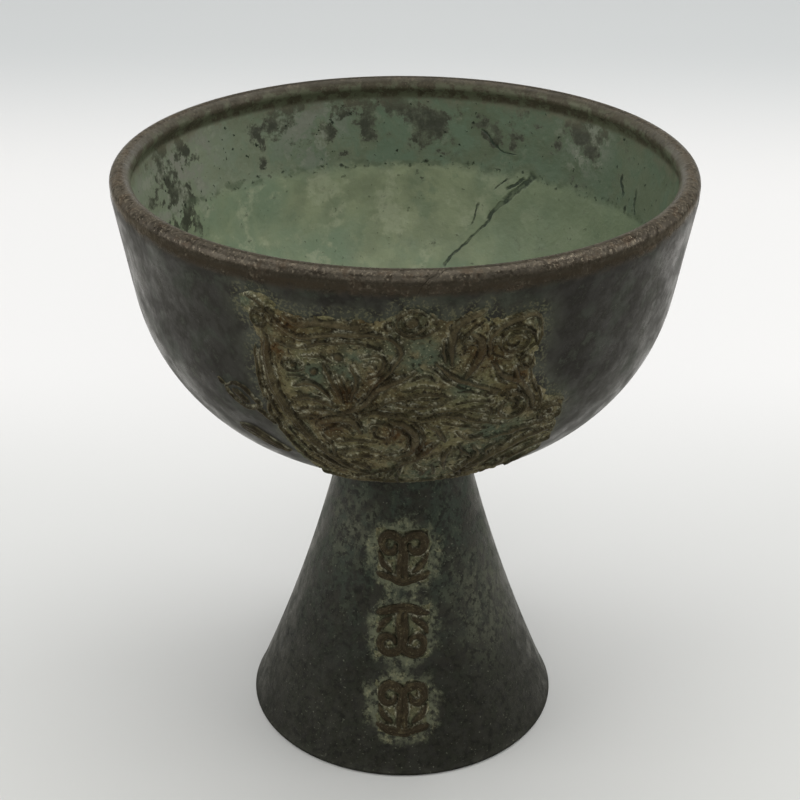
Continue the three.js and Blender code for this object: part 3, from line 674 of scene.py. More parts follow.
# Share of a point in a set of round spots, each with its middle and radius
def spotShare(x, y, spots):
    share = np.zeros(x.shape)
    for (cx, cy), radius in spots:
        share = np.maximum(share, np.exp(-((x - cx) ** 2 + (y - cy) ** 2) / radius ** 2))
    return share


# Places of the relief where one colour of corrosion prevails, in the same drawn millimetres
reliefSpots = {
    "green": [
        ((2, 9.5), 2.8), ((-10, 12.4), 2.4), ((-4.6, 9.4), 1.8), ((11, 21.5), 2.8), ((9, 24), 2),
        ((-6, 12), 1.6), ((2.5, 30), 3.4), ((6.5, 13.6), 1.8), ((17.2, 27), 2.4), ((-17, 3.4), 1.8),
        ((-14.8, 28.4), 1.6)],
    "pale": [
        ((-12.5, 13.6), 1.7), ((1.2, 17.2), 2.2), ((3.6, 19.8), 1.8), ((6.8, 15.4), 2.4), ((-8.2, 4.6), 1.8),
        ((-12.8, 3.8), 1.6), ((-10.6, 9.9), 1.5), ((10.6, 6.4), 2), ((1.6, 13.4), 1.8), ((15.6, 24.6), 2.2),
        ((5.4, 22.4), 1.6), ((-5.4, 23), 1.8), ((-15, 25.6), 2), ((-1.6, 31), 2.6), ((17.6, 17.2), 1.2),
        ((9.6, 12.4), 2.2), ((13.6, 9), 1.8)],
    "rust": [
        ((-14, 9.6), 1.5), ((8.6, 9.4), 2.0), ((12.6, 12.6), 1.4), ((-6.6, 14.6), 1.8), ((-12, 5.8), 1.6),
        ((-9, 19.6), 1.8), ((-1, 20.4), 1.6), ((-3, 12.6), 1.4), ((2.2, 23.2), 1.5)],
}


# 1 where the surface lies well below what is round it, 0 on its tops
def hollowShare(height):
    return np.clip((blurred(height, 3) - height) / 0.22 * 0.5 + 0.5, 0, 1)


# 1 on a line at a distance, fading over a width
def bandShare(distance, middle, width):
    return np.exp(-((distance - middle) / width) ** 2)


def reliefField(x, y):
    ragged = 0.5 * roughField(x, y, 1.6, 5) + 0.3 * roughField(x, y, 0.6, 6)
    edge = outlineDistance(x, y, groundCurve) + ragged * (1 - 0.75 * smoothStep(y, 20, 27))
    ramp = 2.3 - 1.6 * smoothStep(y, 12, 26)  # the ground's edge is steeper lower down
    rise = smoothStep(edge / ramp, -0.15, 0.9)
    ridges, beside = figureField(x, y, strokes, reliefKnobs, reliefForm["figure"])
    fade = smoothStep(edge, -0.3, 0.8)
    onRidge = 1 - smoothStep(beside, -0.16, 0.02)
    height = -0.35 + (0.35 + reliefForm["ground"] + 0.25 * smoothStep(y, 22, 31)) * rise + ridges * fade
    height += reliefForm["noise"] * (1 - 0.5 * onRidge) * crust(x, y, 11) * fade
    comb = np.sin(2 * math.pi * beside / reliefForm["combPitch"]) * (beside < 1.6)
    comb *= smoothStep(roughField(x, y, 2.6, 21), -0.3, 0.3)
    height += reliefForm["comb"] * comb * fade * (1 - onRidge)
    for (cx, cy), radius in gasPits:
        height -= reliefForm["pitDepth"] * bandShare(np.hypot(x - cx, y - cy), 0, radius * 0.7) * fade
    shares = {name: spotShare(x, y, spots) for name, spots in reliefSpots.items()}
    shares.update({
        # Ridge-foot line and hollows: painted shade; line beside a ridge: pale dirt and painted highlight
        "crest": onRidge * fade, "paleDirtAndHighlightEdge": bandShare(beside, 0.13, 0.1) * fade,
        "paintedCreviceShade": bandShare(beside, -0.02, 0.09) * fade, "hollow": hollowShare(height),
        "rim": bandShare(edge, 0.25, 0.4),
    })
    return height, shares


def wispField(x, y):
    ridges, beside = figureField(x, y, wisps, [], reliefForm["figure"])
    noise = reliefForm["wispNoise"] * crust(x, y, 31)
    height = ridges - 0.3 + 0.36 * (1 - smoothStep(beside, 0.0, 0.7)) + noise * (beside > 0)
    return height, {
        # Ridge-foot line and hollows: painted shade; line beside a ridge: pale dirt and painted highlight
        "crest": 1 - smoothStep(beside, -0.16, 0.02), "paleDirtAndHighlightEdge": 0.7 * bandShare(beside, 0.1, 0.1),
        "paintedCreviceShade": bandShare(beside, -0.02, 0.1), "hollow": hollowShare(height),
        "rim": 0.6 * bandShare(beside, 0.45, 0.15), "bare": 0.6,
    }


# The relief, and the two wisps beside it
def makeRelief():
    relief = carvedSheet("dragonRelief", reliefForm["bounds"], reliefForm["cell"], reliefField, onBowl,
                         reliefForm["keepAbove"], reliefForm["sunk"], reliefForm["middle"])
    wispSheets = [carvedSheet(name, bounds, reliefForm["wispCell"], wispField, onBowl,
                              reliefForm["wispKeepAbove"], reliefForm["sunk"])
                  for name, bounds in reliefForm["wispBounds"].items()]
    return [relief] + wispSheets


# The strokes of one ornament: a bar, two curls and two leaves
def ornamentStrokes():
    width = ornamentForm["stroke"]
    reach = (ornamentHeight - width) / 2
    half = (ornamentForm["width"] - width) / 2
    curlPath = curl((-half / 2, half / 2 - reach), half * 0.45, half * 0.225, -1.0, 0)
    lines = {"bar": ([(-half, reach * 0.7), (0, reach), (half, reach * 0.7)], width, 1.0)}
    for side, name in ((-1, "left"), (1, "right")):
        turns = [(-side * x, y) for x, y in curlPath]
        lines[name + "Curl"] = ([(side * width * 0.35, reach)] + turns, width, 1.0)
        leaf = [(side * half * x, reach * y) for x, y in ((0.4, 0.62), (0.75, 0.3), (0.95, -0.1))]
        lines[name + "Leaf"] = (leaf, width * 0.7, 0.8)
    return lines


def makeOrnament(index, name):
    turn = 1 if index % 2 == 0 else -1
    lines = ornamentStrokes()

    def place(across, down, out):
        return onFoot(turn * across, ornamentMiddle(index) - turn * down, out)

    def field(x, y):
        ridges, beside = figureField(x, y, lines, [], ornamentForm["rise"], 80 + index)
        past = 0.2 + np.maximum(abs(x) - ornamentForm["width"] / 2, abs(y) - ornamentHeight / 2)
        apron = smoothStep(0.5 * roughField(x, y, 1.4, 60 + index) - past, -0.2, 0.9)
        height = -0.14 + 0.22 * apron + ridges + ornamentForm["noise"] * crust(x, y, 50 + index * 7)
        onStroke = 1 - smoothStep(beside, -0.14, 0.02)
        return height, {
            # Ridge-foot line and hollows: painted shade; line beside a ridge: pale dirt and painted highlight
            "crest": onStroke, "paleDirtAndHighlightEdge": bandShare(beside, 0.1, 0.12),
            "paintedCreviceShade": bandShare(beside, -0.02, 0.09), "hollow": hollowShare(height),
            "green": 0.45, "rust": 0.25 * onStroke, "pale": 0.45, "bare": 0.8 * onStroke,
        }

    reachX = ornamentForm["width"] / 2 + ornamentForm["margin"]
    reachY = ornamentHeight / 2 + ornamentForm["margin"]
    return carvedSheet(name, (-reachX, reachX, -reachY, reachY), ornamentForm["cell"], field, place,
                       ornamentForm["keepAbove"], ornamentForm["sunk"])


# Adds a node with its settings and its inputs, which are values or other nodes' outputs; gives its outputs
def addNode(tree, kind, inputs=None, **settings):
    node = tree.nodes.new("ShaderNode" + kind)
    for key, value in settings.items():
        setattr(node, key, value)
    for key, value in (inputs or {}).items():
        socket = node.inputs[key]
        if isinstance(value, bpy.types.NodeSocket):
            tree.links.new(value, socket)
        else:
            socket.default_value = value
    return node.outputs


def newMaterial(name):
    material = bpy.data.materials.new(name)
    material.use_nodes = True
    material.node_tree.nodes.clear()
    return material, material.node_tree, addNode(material.node_tree, "TexCoord")["Object"]


# A place's x, y and z in millimetres
def inMillimetres(tree, place):
    scaled = addNode(tree, "VectorMath", {0: place, "Scale": 1 / mm}, operation="SCALE")[0]
    return addNode(tree, "SeparateXYZ", {0: scaled})


# Ends a material with a surface that has these inputs
def setSurface(tree, inputs):
    addNode(tree, "OutputMaterial", {"Surface": addNode(tree, "BsdfPrincipled", inputs)[0]})


# A pattern of a real size: blotches that are size millimetres across, drawn out downwards by a stretch
def blotches(tree, place, size, shift, detail=4.0, roughness=0.55, stretch=1.0):
    moved = addNode(tree, "Mapping", {"Vector": place, "Location": (shift, shift * 0.7, -shift),
                                      "Scale": (1, 1, 1 / stretch)})[0]
    return addNode(tree, "TexNoise", {"Vector": moved, "Scale": 1 / (size * mm), "Detail": detail,
                                      "Roughness": roughness})[0]


# The product of some shares. Each is a value and, unless it is taken as it is, the two levels it is read
# between and, unless they are 0 and 1, what those two levels give.
def shareOf(tree, *parts):
    product = None
    for value, *levels in parts:
        if levels:
            low, high, least, most = (levels + [0.0, 1.0])[:4]
            value = addNode(tree, "MapRange", {"Value": value, "From Min": low, "From Max": high,
                                               "To Min": least, "To Max": most},
                            interpolation_type="SMOOTHSTEP")[0]
        if product is not None:
            value = addNode(tree, "Math", {0: product, 1: value}, operation="MULTIPLY")[0]
        product = value
    return product


# A value with some others added, each times its factor
def summed(tree, value, *terms):
    for other, factor in terms:
        value = addNode(tree, "Math", {0: other, 1: factor, 2: value}, operation="MULTIPLY_ADD")[0]
    return value


# The largest of some values
def highest(tree, values):
    largest = 0.0
    for value in values:
        largest = addNode(tree, "Math", {0: largest, 1: value}, operation="MAXIMUM")[0]
    return largest


# Lays coats of colour over a colour. Each coat is a colour and the shares whose product it is laid on by.
def coated(tree, colour, *coats):
    colour = linear(colour) if isinstance(colour, str) else colour
    for above, *parts in coats:
        above = linear(above) if isinstance(above, str) else above
        colour = addNode(tree, "Mix", {0: shareOf(tree, *parts), 6: colour, 7: above}, data_type="RGBA")[2]
    return colour


# Bumps, each a pattern and its depth in millimetres, the later ones over the earlier
def bumped(tree, *bumps):
    normal = {}
    for pattern, depth in bumps:
        normal = {"Normal": addNode(tree, "Bump", {"Height": pattern, "Distance": depth * mm, "Strength": 1.0,
                                                   **normal})[0]}
    return normal["Normal"]


# 1 near a place in millimetres, falling to 0 at its reach. A noise as waver makes its edge ragged.
def spot(tree, place, centre, reach, waver=0.5):
    ragged = 40  # how far the whole of the noise would move the edge; its middle, 0.5, moves nothing
    away = addNode(tree, "VectorMath", {0: place, 1: [c * mm for c in centre]}, operation="DISTANCE")["Value"]
    moved = summed(tree, away, (waver, ragged * mm))
    return shareOf(tree, (moved, (reach + ragged / 2) * mm, (reach * 0.2 + ragged / 2) * mm))


# A straight scratch from one place to another on a curved wall, cut by a tool held at toolPoint, with a noise
# that bends it by up to half of the bend
toolPoint = Vector((0, -200, 152))


def scratch(tree, place, waver, first, second, width):
    first, second = Vector(first), Vector(second)
    bend, fade = 2.4, 0.3
    across = (first - toolPoint).cross(second - toolPoint).normalized()
    length = (second - first).length
    moved = addNode(tree, "VectorMath", {0: place, 1: first * mm}, operation="SUBTRACT")[0]
    side, along = (addNode(tree, "VectorMath", {0: moved, 1: axis}, operation="DOT_PRODUCT")["Value"]
                   for axis in (across, (second - first).normalized()))
    bent = summed(tree, side, (waver, bend * mm), (1.0, -bend / 2 * mm))
    away = addNode(tree, "Math", {0: bent}, operation="ABSOLUTE")[0]
    return shareOf(tree, (away, width * 0.6 * mm, width * 0.25 * mm), (along, -fade * mm, fade * mm),
                   (along, (length + fade) * mm, (length - fade) * mm))


# Scratches and chips inside the bowl: two ends and a width
innerScratches = [
    ((18.8, 27.9, 70.5), (5.9, 27.6, 56.1), 0.45), ((18.8, 27.9, 70.5), (14.6, 28.8, 65.8), 1.1),
    ((15.8, 29.0, 66.8), (12.3, 29.4, 62.9), 0.7), ((17.4, 28.6, 69.8), (15.0, 29.6, 67.6), 0.6),
    ((14.9, 29.9, 69.2), (13.2, 30.4, 67.4), 0.3), ((11.0, 30.4, 65.0), (10.0, 29.9, 61.8), 0.3),
    ((31.7, 12.8, 73.8), (31.7, 11.2, 70.8), 0.25), ((30.3, 16.1, 74.8), (30.6, 14.6, 72.6), 0.3),
    ((11.2, 32.6, 75.7), (13.3, 31.4, 73.8), 0.3), ((13.3, 31.4, 73.8), (16.2, 29.9, 72.9), 0.25),
]
# Places inside, with a reach, where the patina stayed dark under the lip, and where it was rubbed to grey
darkPlaces = [
    ((-2.1, 34.9, 79.1), 6), ((1, 34.8, 77), 5), ((5, 34.2, 75.6), 4.5), ((-9.3, 33.6, 78), 4),
    ((-17, 30.2, 76.6), 6), ((-31.2, 14.9, 76.3), 5), ((-32.6, 10, 78), 4), ((-31, 12.8, 71.5), 3.5),
    ((26, 23, 78), 6), ((17, 30.8, 79), 5),
]
greyPlaces = [((-33, 9, 75), 14), ((-30, 18, 76), 10), ((-14, 32, 76), 9), ((26, 24, 77), 7)]
bowlFinish = {
    "metallic": 0.4, "metallicInside": -0.25, "metallicWiped": 0.3, "specular": 0.32,
    "tideLine": -8.1,       # height of the tide line above the lip's lower edge, in mm
    "tideWaver": 3.6,       # how far it wavers, in mm
    "frontDrop": 0.8,       # how much lower the wiped metal of the lip ends at the front, in mm
    "pitting": 0.1, "dents": 0.2,   # depth of the fine and of the wide unevenness, in mm
}


# Cast bronze, chemically darkened and waxed: near-black brown outside with a grey-green film, green and
# mottled inside where the patina was rubbed thin, dark smears and painted shadow under the lip, painted
# light inside (lighter left, darker right), worn brown metal on the lip with painted highlight and shade
def patinatedBowlBronze():
    material, tree, place = newMaterial("patinatedBowlBronze")
    inside, stain, lipTurn = (addNode(tree, "Attribute", attribute_name=name)["Fac"]
                              for name in ("inside", "stain", "lipTurn"))
    across, back, height = inMillimetres(tree, place)
    rise = summed(tree, height, (1.0, lipHalfHeight - lipHeight))  # above the lip's lower edge
    wide = blotches(tree, place, 14, 0.0)
    mid = blotches(tree, place, 4, 0.03)
    cloud = blotches(tree, place, 5, 0.21, 8, 0.68)
    smear = blotches(tree, place, 2.6, 0.33, 8, 0.7)
    patch = blotches(tree, place, 2.2, 0.05, 6)
    fine = blotches(tree, place, 0.9, 0.07)
    speck = blotches(tree, place, 0.35, 0.11, 2)

    outer = coated(
        tree, "#1c1a17",
        ("#23221d", (wide, 0.35, 0.65)),
        ("#2a2e26", (mid, 0.5, 0.64, 0, 0.8)),
        ("#3c4037", (smear, 0.56, 0.66, 0, 0.6)),
        ("#171512", (fine, 0.58, 0.72, 0, 0.6)),
        ("#575648", (speck, 0.68, 0.75, 0, 0.4)),
        ("#3e4037", (stain,), (patch, 0.36, 0.56, 0.1, 0.9)),
        ("#5c5b45", (stain, 0.55, 1.0), (speck, 0.5, 0.62, 0, 0.7)))

    # Inside, a tide line parts the green floor from the darker wall above it
    tide = summed(tree, rise, (cloud, bowlFinish["tideWaver"]), (1.0, -bowlFinish["tideLine"]))
    above = shareOf(tree, (tide, -1.2, 0.8))
    fromTide = addNode(tree, "Math", {0: tide}, operation="ABSOLUTE")[0]
    upper = coated(
        tree, "#5b6551",
        ("#707863", (wide, 0.35, 0.65)),
        ("#627360", (cloud, 0.44, 0.58, 0, 0.8)),
        ("#79806e", (smear, 0.55, 0.66, 0, 0.6)),
        # Painted light: the wall lighter towards the left and darker towards the right
        ("#4a5443", (across, 4, 28, 0, 0.5)),
        ("#868c78", (across, -12, -30, 0, 0.5)))
    inner = coated(
        tree, "#7e866c",
        ("#8e9679", (mid, 0.35, 0.65)),
        ("#76866f", (wide, 0.42, 0.66, 0, 0.9)),
        ("#a3a88e", (cloud, 0.53, 0.64, 0, 0.6)),
        ("#707d66", (cloud, 0.46, 0.36, 0, 0.6)),
        # Painted shadow: the floor darker towards the right
        ("#66735d", (across, 0, 26, 0, 0.65)),
        (upper, (above,)))
    for centre, reach in greyPlaces:
        near = spot(tree, place, centre, reach)
        inner = coated(tree, inner, ("#7e7d73", (near,), (cloud, 0.5, 0.6, 0, 0.7)),
                       ("#8b8d80", (near,), (smear, 0.52, 0.62, 0, 0.6)))
    # Painted shadow on the wall just under the lip, together with the real dark smears at darkPlaces
    lipShadowAndSmears = highest(tree, [shareOf(tree, (rise, -3.1, 0.3, 0.1, 0.3))]
                       + [spot(tree, place, centre, reach, cloud) for centre, reach in darkPlaces])
    lipShadowAndSmearLevel = summed(tree, 0.0, (lipShadowAndSmears, 0.3), (smear, -1.0))
    cuts = highest(tree, [scratch(tree, place, mid, *ends) for ends in innerScratches])
    inner = coated(
        tree, inner,
        # These two coats lay the painted shadow under the lip and the dark smears
        ("#4e4f44", (lipShadowAndSmearLevel, -0.38, -0.2, 0, 0.8)),
        ("#303229", (lipShadowAndSmearLevel, -0.27, -0.12, 0, 0.8)),
        ("#6a6755", (rise, -2.7, 0.1, 0, 0.8), (smear, 0.58, 0.42)),
        ("#625f50", (rise, -0.9, 0.2, 0, 0.6)),
        ("#232a20", (fromTide, 0.9, 0.2), (fine, 0.57, 0.63, 0, 0.85)),
        ("#4d5744", (fromTide, 0.8, 0.1), (patch, 0.46, 0.58, 0, 0.6)),
        ("#1f261d", (above, 0, 1, 0.45, 1), (fine, 0.66, 0.7)),
        ("#29332a", (cuts,), (smear, 0.6, 0.46, 0.4, 0.9)))

    # The lip is wiped bright on top; over its worn metal lie a painted highlight on the crest and painted
    # shade
    frontDrop = shareOf(tree, (back, -10, -32, 0, bowlFinish["frontDrop"]))
    uneven = summed(tree, rise, (smear, 2.4), (lipTurn, 1.4), (frontDrop, 1.0))
    lip = shareOf(tree, (uneven, 1.7, 2.5), (rise, -0.7, 0.0))
    middle = addNode(tree, "Math", {0: back}, operation="ABSOLUTE")[0]
    wornLipWithPaintedLight = coated(
        tree, "#47413a",
        ("#5a544b", (patch, 0.38, 0.62)),
        # Painted highlight: light speckles along the crest of the bead
        ("#4c463d", (lipTurn, 0.18, 0.3), (lipTurn, 0.56, 0.42), (fine, 0.6, 0.42, 0.2, 0.9)),
        ("#4a3a2c", (smear, 0.5, 0.6, 0, 0.6)),
        ("#211d17", (fine, 0.5, 0.62, 0, 0.8)),
        ("#7d7464", (speck, 0.54, 0.66, 0, 0.7)),
        # Painted shade: darker on the inner side of the bead
        ("#423e31", (lipTurn, 0.5, 0.72, 0, 0.9), (fine, 0.7, 0.4, 0.6, 1)),
        ("#5c604e", (lipTurn, 0.66, 0.95), (smear, 0.46, 0.56, 0, 0.75)),
        # Painted shade: darker on the bead's outer underside
        ("#352f25", (lipTurn, 0.2, 0.02, 0, 0.8), (smear, 0.62, 0.44, 0.2, 1)),
        # Painted light: the lip darker at the front and back, so that its sides look lit
        ("#2c2820", (middle, 14, 36, 0, 0.7), (lipTurn, 0.7, 0.5), (fine, 0.64, 0.4, 0.5, 1)),
        # Painted shade: darker again at the back
        ("#25221b", (back, 12, 34, 0, 0.6), (lipTurn, 0.95, 0.7), (smear, 0.6, 0.44, 0.3, 1)))
    # Painted shade on the wall just under the bead outside, strongest at the front; it is also made rougher
    paintedShadeUnderBead = shareOf(tree, (rise, -0.7, 0.3), (rise, 1.3, 0.8), (inside, 0.5, 0.3), (smear, 0.56, 0.46),
                    (back, -12, -30, 0.2, 1))
    colour = coated(tree, outer, (inner, (inside,)), (wornLipWithPaintedLight, (lip,)),
                    ("#362f25", (paintedShadeUnderBead,), (fine, 0.62, 0.44, 0.3, 0.9)))

    wiped = shareOf(tree, (lip,), (lipTurn, 0.75, 0.5, -0.5, 1))
    metallic = summed(tree, bowlFinish["metallic"], (inside, bowlFinish["metallicInside"]),
                      (wiped, bowlFinish["metallicWiped"]))
    sheen = coated(tree, "#fbf8f0", ("#bdb9af", (smear, 0.42, 0.58)), ("#bcb6aa", (lip,)))
    roughness = summed(tree, shareOf(tree, (cloud, 0.38, 0.62, 0.26, 0.46)),
                       (inside, 0.2), (stain, 0.15), (paintedShadeUnderBead, 0.3), (lip, -0.1))
    pitted = shareOf(tree, (highest(tree, [inside, lip]), 0.4, 1.0, 0.08, 1))
    pitting = shareOf(tree, (summed(tree, fine, (cuts, -1.0)),), (pitted,))
    setSurface(tree, {
        "Base Color": colour, "Metallic": metallic, "Specular IOR Level": bowlFinish["specular"],
        "Specular Tint": sheen, "Roughness": roughness,
        "Normal": bumped(tree, (pitting, bowlFinish["pitting"]),
                         (blotches(tree, place, 6, 0.2), bowlFinish["dents"])),
    })
    return material


# The same bronze on the foot, with green-grey corrosion towards the neck and grey crust round the ornaments
footFinish = {
    "metallic": 0.4, "specular": 0.4, "pitting": 0.07,
    "pale": (((15, -10, 22), 13), ((-9, -10, 33), 8)),  # places with a reach where the corrosion is paler
}


def patinatedFootBronze():
    material, tree, place = newMaterial("patinatedFootBronze")
    stain = addNode(tree, "Attribute", attribute_name="stain")["Fac"]
    height = inMillimetres(tree, place)[2]
    wide = blotches(tree, place, 10, 0.4)
    mid = blotches(tree, place, 3.2, 0.5, 8, 0.7)
    ragged = blotches(tree, place, 1.8, 0.8, 8, 0.72, 1.3)
    fine = blotches(tree, place, 0.9, 0.6, 6, 0.7)
    speck = blotches(tree, place, 0.35, 0.7, 2)
    high = shareOf(tree, (height, 8, 34, 0.1, 1.0))
    crusted = summed(tree, stain, (ragged, 2.4))
    colour = coated(
        tree, "#191914",
        ("#21211b", (wide, 0.35, 0.65)),
        ("#272f27", (high,), (mid, 0.42, 0.58)),
        ("#3f4439", (high, 0, 1, 0.15, 0.85), (ragged, 0.5, 0.62, 0, 0.8)),
        *[("#4e5043", (spot(tree, place, *pale),), (ragged, 0.42, 0.56, 0.1, 0.9))
          for pale in footFinish["pale"]],
        ("#121210", (fine, 0.48, 0.6, 0, 0.85)),
        ("#6a6c5e", (speck, 0.66, 0.73, 0, 0.5)),
        ("#5f624f", (stain, 0.02, 0.2), (crusted, 1.5, 2.2), (fine, 0.6, 0.44, 0.1, 0.85)),
        ("#7c7a60", (stain, 0.3, 0.7), (ragged, 0.52, 0.6), (speck, 0.44, 0.6, 0.1, 0.6)))
    setSurface(tree, {
        "Base Color": colour, "Metallic": footFinish["metallic"],
        "Specular IOR Level": footFinish["specular"],
        "Specular Tint": coated(tree, "#efebdd", ("#aeaa9c", (ragged, 0.42, 0.58))),
        "Roughness": summed(tree, shareOf(tree, (mid, 0.38, 0.62, 0.32, 0.52)), (stain, 0.2)),
        "Normal": bumped(tree, (fine, footFinish["pitting"])),
    })
    return material


reliefFinish = {"metallic": 0.3, "specular": 0.3, "sheen": "#a8a196", "grain": 0.09, "pitting": 0.3}


# Cast relief: dark brown ridges edged with thin pale dirt and a painted highlight, with painted shade at
# their feet and in the hollows, rough olive, grey-green and rust-brown corrosion on the ground between them
def corrodedReliefBronze():
    material, tree, place = newMaterial("corrodedReliefBronze")
    crest, paleDirtAndHighlightEdge, paintedCreviceShade, hollow, rim, green, rust, pale, bare = (
        addNode(tree, "Attribute", attribute_name=name)["Fac"] for name in carvedShares)
    wide = blotches(tree, place, 6, 1.0)
    mid = blotches(tree, place, 1.6, 1.1, 6)
    broken = blotches(tree, place, 1.3, 1.5, 6, 0.7)
    patchy = blotches(tree, place, 3.4, 1.7, 8, 0.72)
    fine = blotches(tree, place, 0.6, 1.2)
    grain = blotches(tree, place, 0.3, 1.3, 2)
    brown = coated(
        tree, "#383222",
        ("#48412e", (wide, 0.35, 0.65)),
        ("#40301b", (rust,), (0.6,)),
        ("#5a533c", (broken, 0.52, 0.62, 0, 0.7)),
        ("#292319", (bare,), (broken, 0.64, 0.46, 0.4, 1)),
        ("#262116", (fine, 0.54, 0.64, 0, 0.5)),
        ("#6c6850", (grain, 0.62, 0.7, 0, 0.5)))
    colour = coated(
        tree, "#5f573d",
        ("#736b4f", (mid, 0.38, 0.6)),
        ("#4b5241", (patchy, 0.48, 0.6, 0, 0.7)),
        ("#3c2f1c", (patchy, 0.5, 0.38, 0, 0.7)),
        ("#3a3423", (broken, 0.54, 0.42, 0, 0.8)),
        ("#6d694a", (pale,), (fine, 0.6, 0.42, 0.2, 0.9)),
        ("#4c5646", (green,), (mid, 0.62, 0.42, 0.25, 1.0)),
        ("#4a351c", (rust,), (fine, 0.4, 0.6, 0.4, 1.0)),
        ("#8c8a70", (grain, 0.6, 0.68, 0, 0.7)),
        ("#1b1810", (fine, 0.57, 0.67, 0, 0.8)),
        ("#37362e", (bare,), (0.85,)),
        (brown, (crest,)),
        # Painted shade: near black in the hollows
        ("#18140c", (hollow, 0.6, 0.95), (mid, 0.4, 0.55, 0.35, 0.9)),
        # Painted shade: a dark line at the foot of each ridge
        ("#17130c", (paintedCreviceShade,), (mid, 0.66, 0.44, 0.25, 0.9)),
        # Pale dirt and a painted highlight: a thin line beside each ridge
        ("#aaa892", (paleDirtAndHighlightEdge,), (mid, 0.46, 0.62, 0, 0.8), (grain, 0.42, 0.56, 0.1, 1.0)),
        ("#6d6d59", (rim,), (fine, 0.46, 0.58, 0, 0.7)))
    setSurface(tree, {
        "Base Color": colour, "Metallic": reliefFinish["metallic"],
        "Specular IOR Level": reliefFinish["specular"], "Specular Tint": linear(reliefFinish["sheen"]),
        "Roughness": summed(tree, shareOf(tree, (fine, 0.3, 0.7, 0.54, 0.72)), (crest, -0.18)),
        "Normal": bumped(tree, (grain, reliefFinish["grain"]), (broken, reliefFinish["pitting"])),
    })
    return material


# Brass filler metal, tarnished almost as dark as the castings
def tarnishedBraze():
    material, tree, place = newMaterial("tarnishedBraze")
    mid = blotches(tree, place, 2, 2.0)
    fine = blotches(tree, place, 0.5, 2.1)
    setSurface(tree, {
        "Base Color": coated(tree, "#2c2b22", ("#403e2f", (mid, 0.35, 0.65))), "Metallic": 0.45,
        "Specular IOR Level": 0.3, "Roughness": shareOf(tree, (fine, 0.3, 0.7, 0.4, 0.6)),
        "Normal": bumped(tree, (fine, 0.1)),
    })
    return material


# Build the pieces
bowl = makeBowl()
print("cup: bowl turned")
foot = makeFoot()
braze = makeBraze()
print("cup: foot and fillet turned")
relief, *wispSheets = makeRelief()
print("cup: relief carved")
ornamentNames = ["ornamentLower", "ornamentMiddle", "ornamentUpper"]
ornaments = [makeOrnament(i, name) for i, name in enumerate(ornamentNames)]
print("cup: ornaments carved")

reliefMaterial = corrodedReliefBronze()
for piece, material, slot in (
        [(bowl, patinatedBowlBronze(), "bowl_bronze"), (foot, patinatedFootBronze(), "foot_bronze"),
         (braze, tarnishedBraze(), "braze_metal"), (relief, reliefMaterial, "relief_bronze")]
        + [(sheet, reliefMaterial, "relief_bronze") for sheet in wispSheets + ornaments]):
    piece.data.materials.append(material)
    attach(piece, "root")
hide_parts("bowl")
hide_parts("foot")
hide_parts("braze_ring")
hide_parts("dragon_relief")
for piece, node in zip(ornaments, ("foot_ornament_lower", "foot_ornament_middle", "foot_ornament_upper")):
    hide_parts(node)
print("cup: materials set")

# Air: white where the camera and the metal see it, dimmer as a light
airForm = {"colour": "#ecedec", "light": 0.5, "seen": 1.0}

# Floor: a pale paper sweep with painted light on it: greyer near the viewer, brightest a little behind the
# cup, greyer again far behind, as distances from the cup in mm.
# Far from the cup it goes over into the colour of the air.
stageForm = {
    "size": 8.0, "near": "#d3d3d0", "mid": "#d6d6d4", "bright": "#e3e2e1", "far": "#c9cbcb",
    "nearY": (-40, 40), "midY": (40, 110), "farY": (200, 360), "fade": (450, 800),
    "roughness": 0.9, "specular": 0.1,
}


def paleFloor():
    material, tree, place = newMaterial("palePaperFloor")
    depth = inMillimetres(tree, place)[1]
    # Painted light: the paper's colour graded by distance in depth
    coats = [(stageForm[name], (depth, *stageForm[reach]))
             for reach, name in (("nearY", "mid"), ("midY", "bright"), ("farY", "far"))]
    paper = addNode(tree, "BsdfPrincipled", {"Base Color": coated(tree, stageForm["near"], *coats),
                                             "Roughness": stageForm["roughness"],
                                             "Specular IOR Level": stageForm["specular"]})[0]
    away = addNode(tree, "VectorMath", {0: place}, operation="LENGTH")["Value"]
    seen = addNode(tree, "LightPath")["Is Camera Ray"]
    share = shareOf(tree, (away, *[reach * mm for reach in stageForm["fade"]]), (seen,))
    glow = addNode(tree, "Emission", {"Color": linear(airForm["colour"]), "Strength": airForm["seen"]})[0]
    addNode(tree, "OutputMaterial", {"Surface": addNode(tree, "MixShader", {0: share, 1: paper, 2: glow})[0]})
    return material


floor = added(bpy.ops.mesh.primitive_plane_add, "floor", size=stageForm["size"])
floor.data.materials.append(paleFloor())

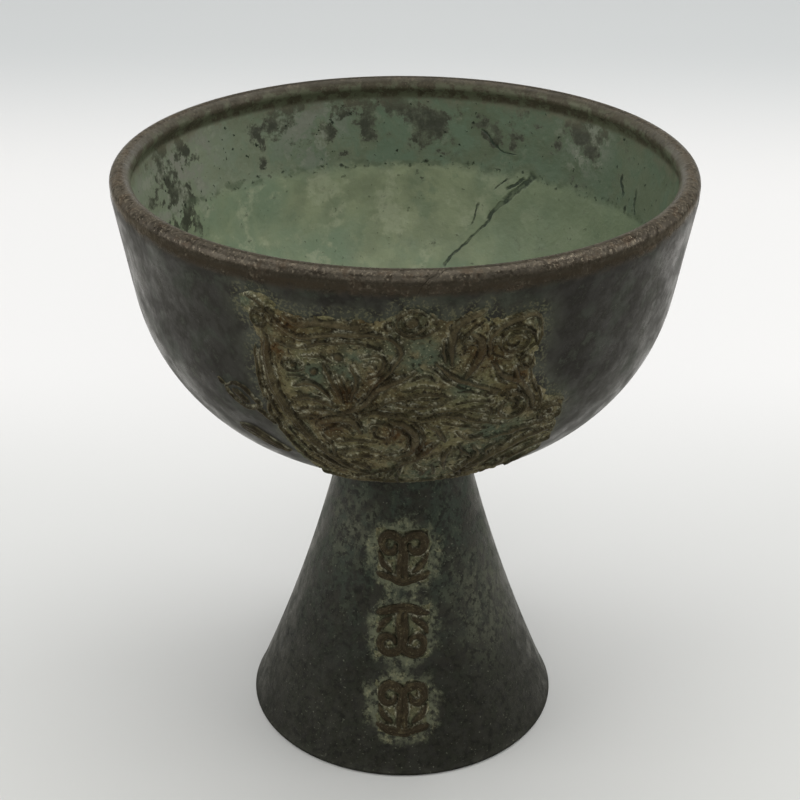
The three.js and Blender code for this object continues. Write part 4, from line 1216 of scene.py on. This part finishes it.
# Soft studio light
lamps = {
    "topBox": {"place": (0.0, 0.15, 0.9), "aim": (0, 0, 0.04), "size": 0.9, "watts": 5.0},
    "keyStrip": {"place": (0.34, 0.14, 0.62), "aim": (0, 0, 0.06), "size": 0.3, "sizeY": 0.02, "watts": 0.4},
    "leftBox": {"place": (-0.8, -0.2, 0.45), "aim": (0, 0, 0.05), "size": 0.6, "watts": 2.6},
    "rightBox": {"place": (0.8, -0.1, 0.5), "aim": (0, 0, 0.05), "size": 0.6, "watts": 2.1},
    "frontBox": {"place": (0.0, -0.9, 0.6), "aim": (0, 0, 0.05), "size": 0.7, "watts": 1.5},
}
for name, lamp in lamps.items():
    light = added(bpy.ops.object.light_add, name, type="AREA", location=lamp["place"])
    light.data.energy = lamp["watts"]
    light.data.shape = "RECTANGLE"
    light.data.size = lamp["size"]
    light.data.size_y = lamp.get("sizeY", lamp["size"])
    light.rotation_euler = (Vector(lamp["aim"]) - Vector(lamp["place"])).to_track_quat("-Z", "Y").to_euler()

world = bpy.data.worlds.new("studioAir")
bpy.context.scene.world = world
world.use_nodes = True
tree = world.node_tree
tree.nodes.clear()
rays = addNode(tree, "LightPath")
seen = highest(tree, [rays[name] for name in ("Is Camera Ray", "Is Glossy Ray", "Is Transmission Ray")])
strength = shareOf(tree, (seen, 0, 1, airForm["light"], airForm["seen"]))
air = addNode(tree, "Background", {"Color": linear(airForm["colour"]), "Strength": strength})[0]
addNode(tree, "OutputWorld", {"Surface": air})

# Camera: where the photograph was taken from, in mm and degrees
cameraForm = {
    "place": (0.0, -199.7, 152.5), "pitch": 27.68, "turn": 0.149, "roll": 0.229,
    "lens": 73.63, "sensor": 36.0,
}
camera = added(bpy.ops.object.camera_add, "photoCamera")
camera.data.lens = cameraForm["lens"]
camera.data.sensor_width = cameraForm["sensor"]
camera.data.clip_start = 0.01
camera.matrix_world = (
    Matrix.Translation(Vector(cameraForm["place"]) * mm)
    @ Matrix.Rotation(math.radians(cameraForm["turn"]), 4, "Z")
    @ Matrix.Rotation(math.radians(90 - cameraForm["pitch"]), 4, "X")
    @ Matrix.Rotation(math.radians(cameraForm["roll"]), 4, "Z"))
bpy.context.scene.camera = camera
bpy.context.scene.view_settings.view_transform = "Standard"
print("cup: stage, lamps and camera set")
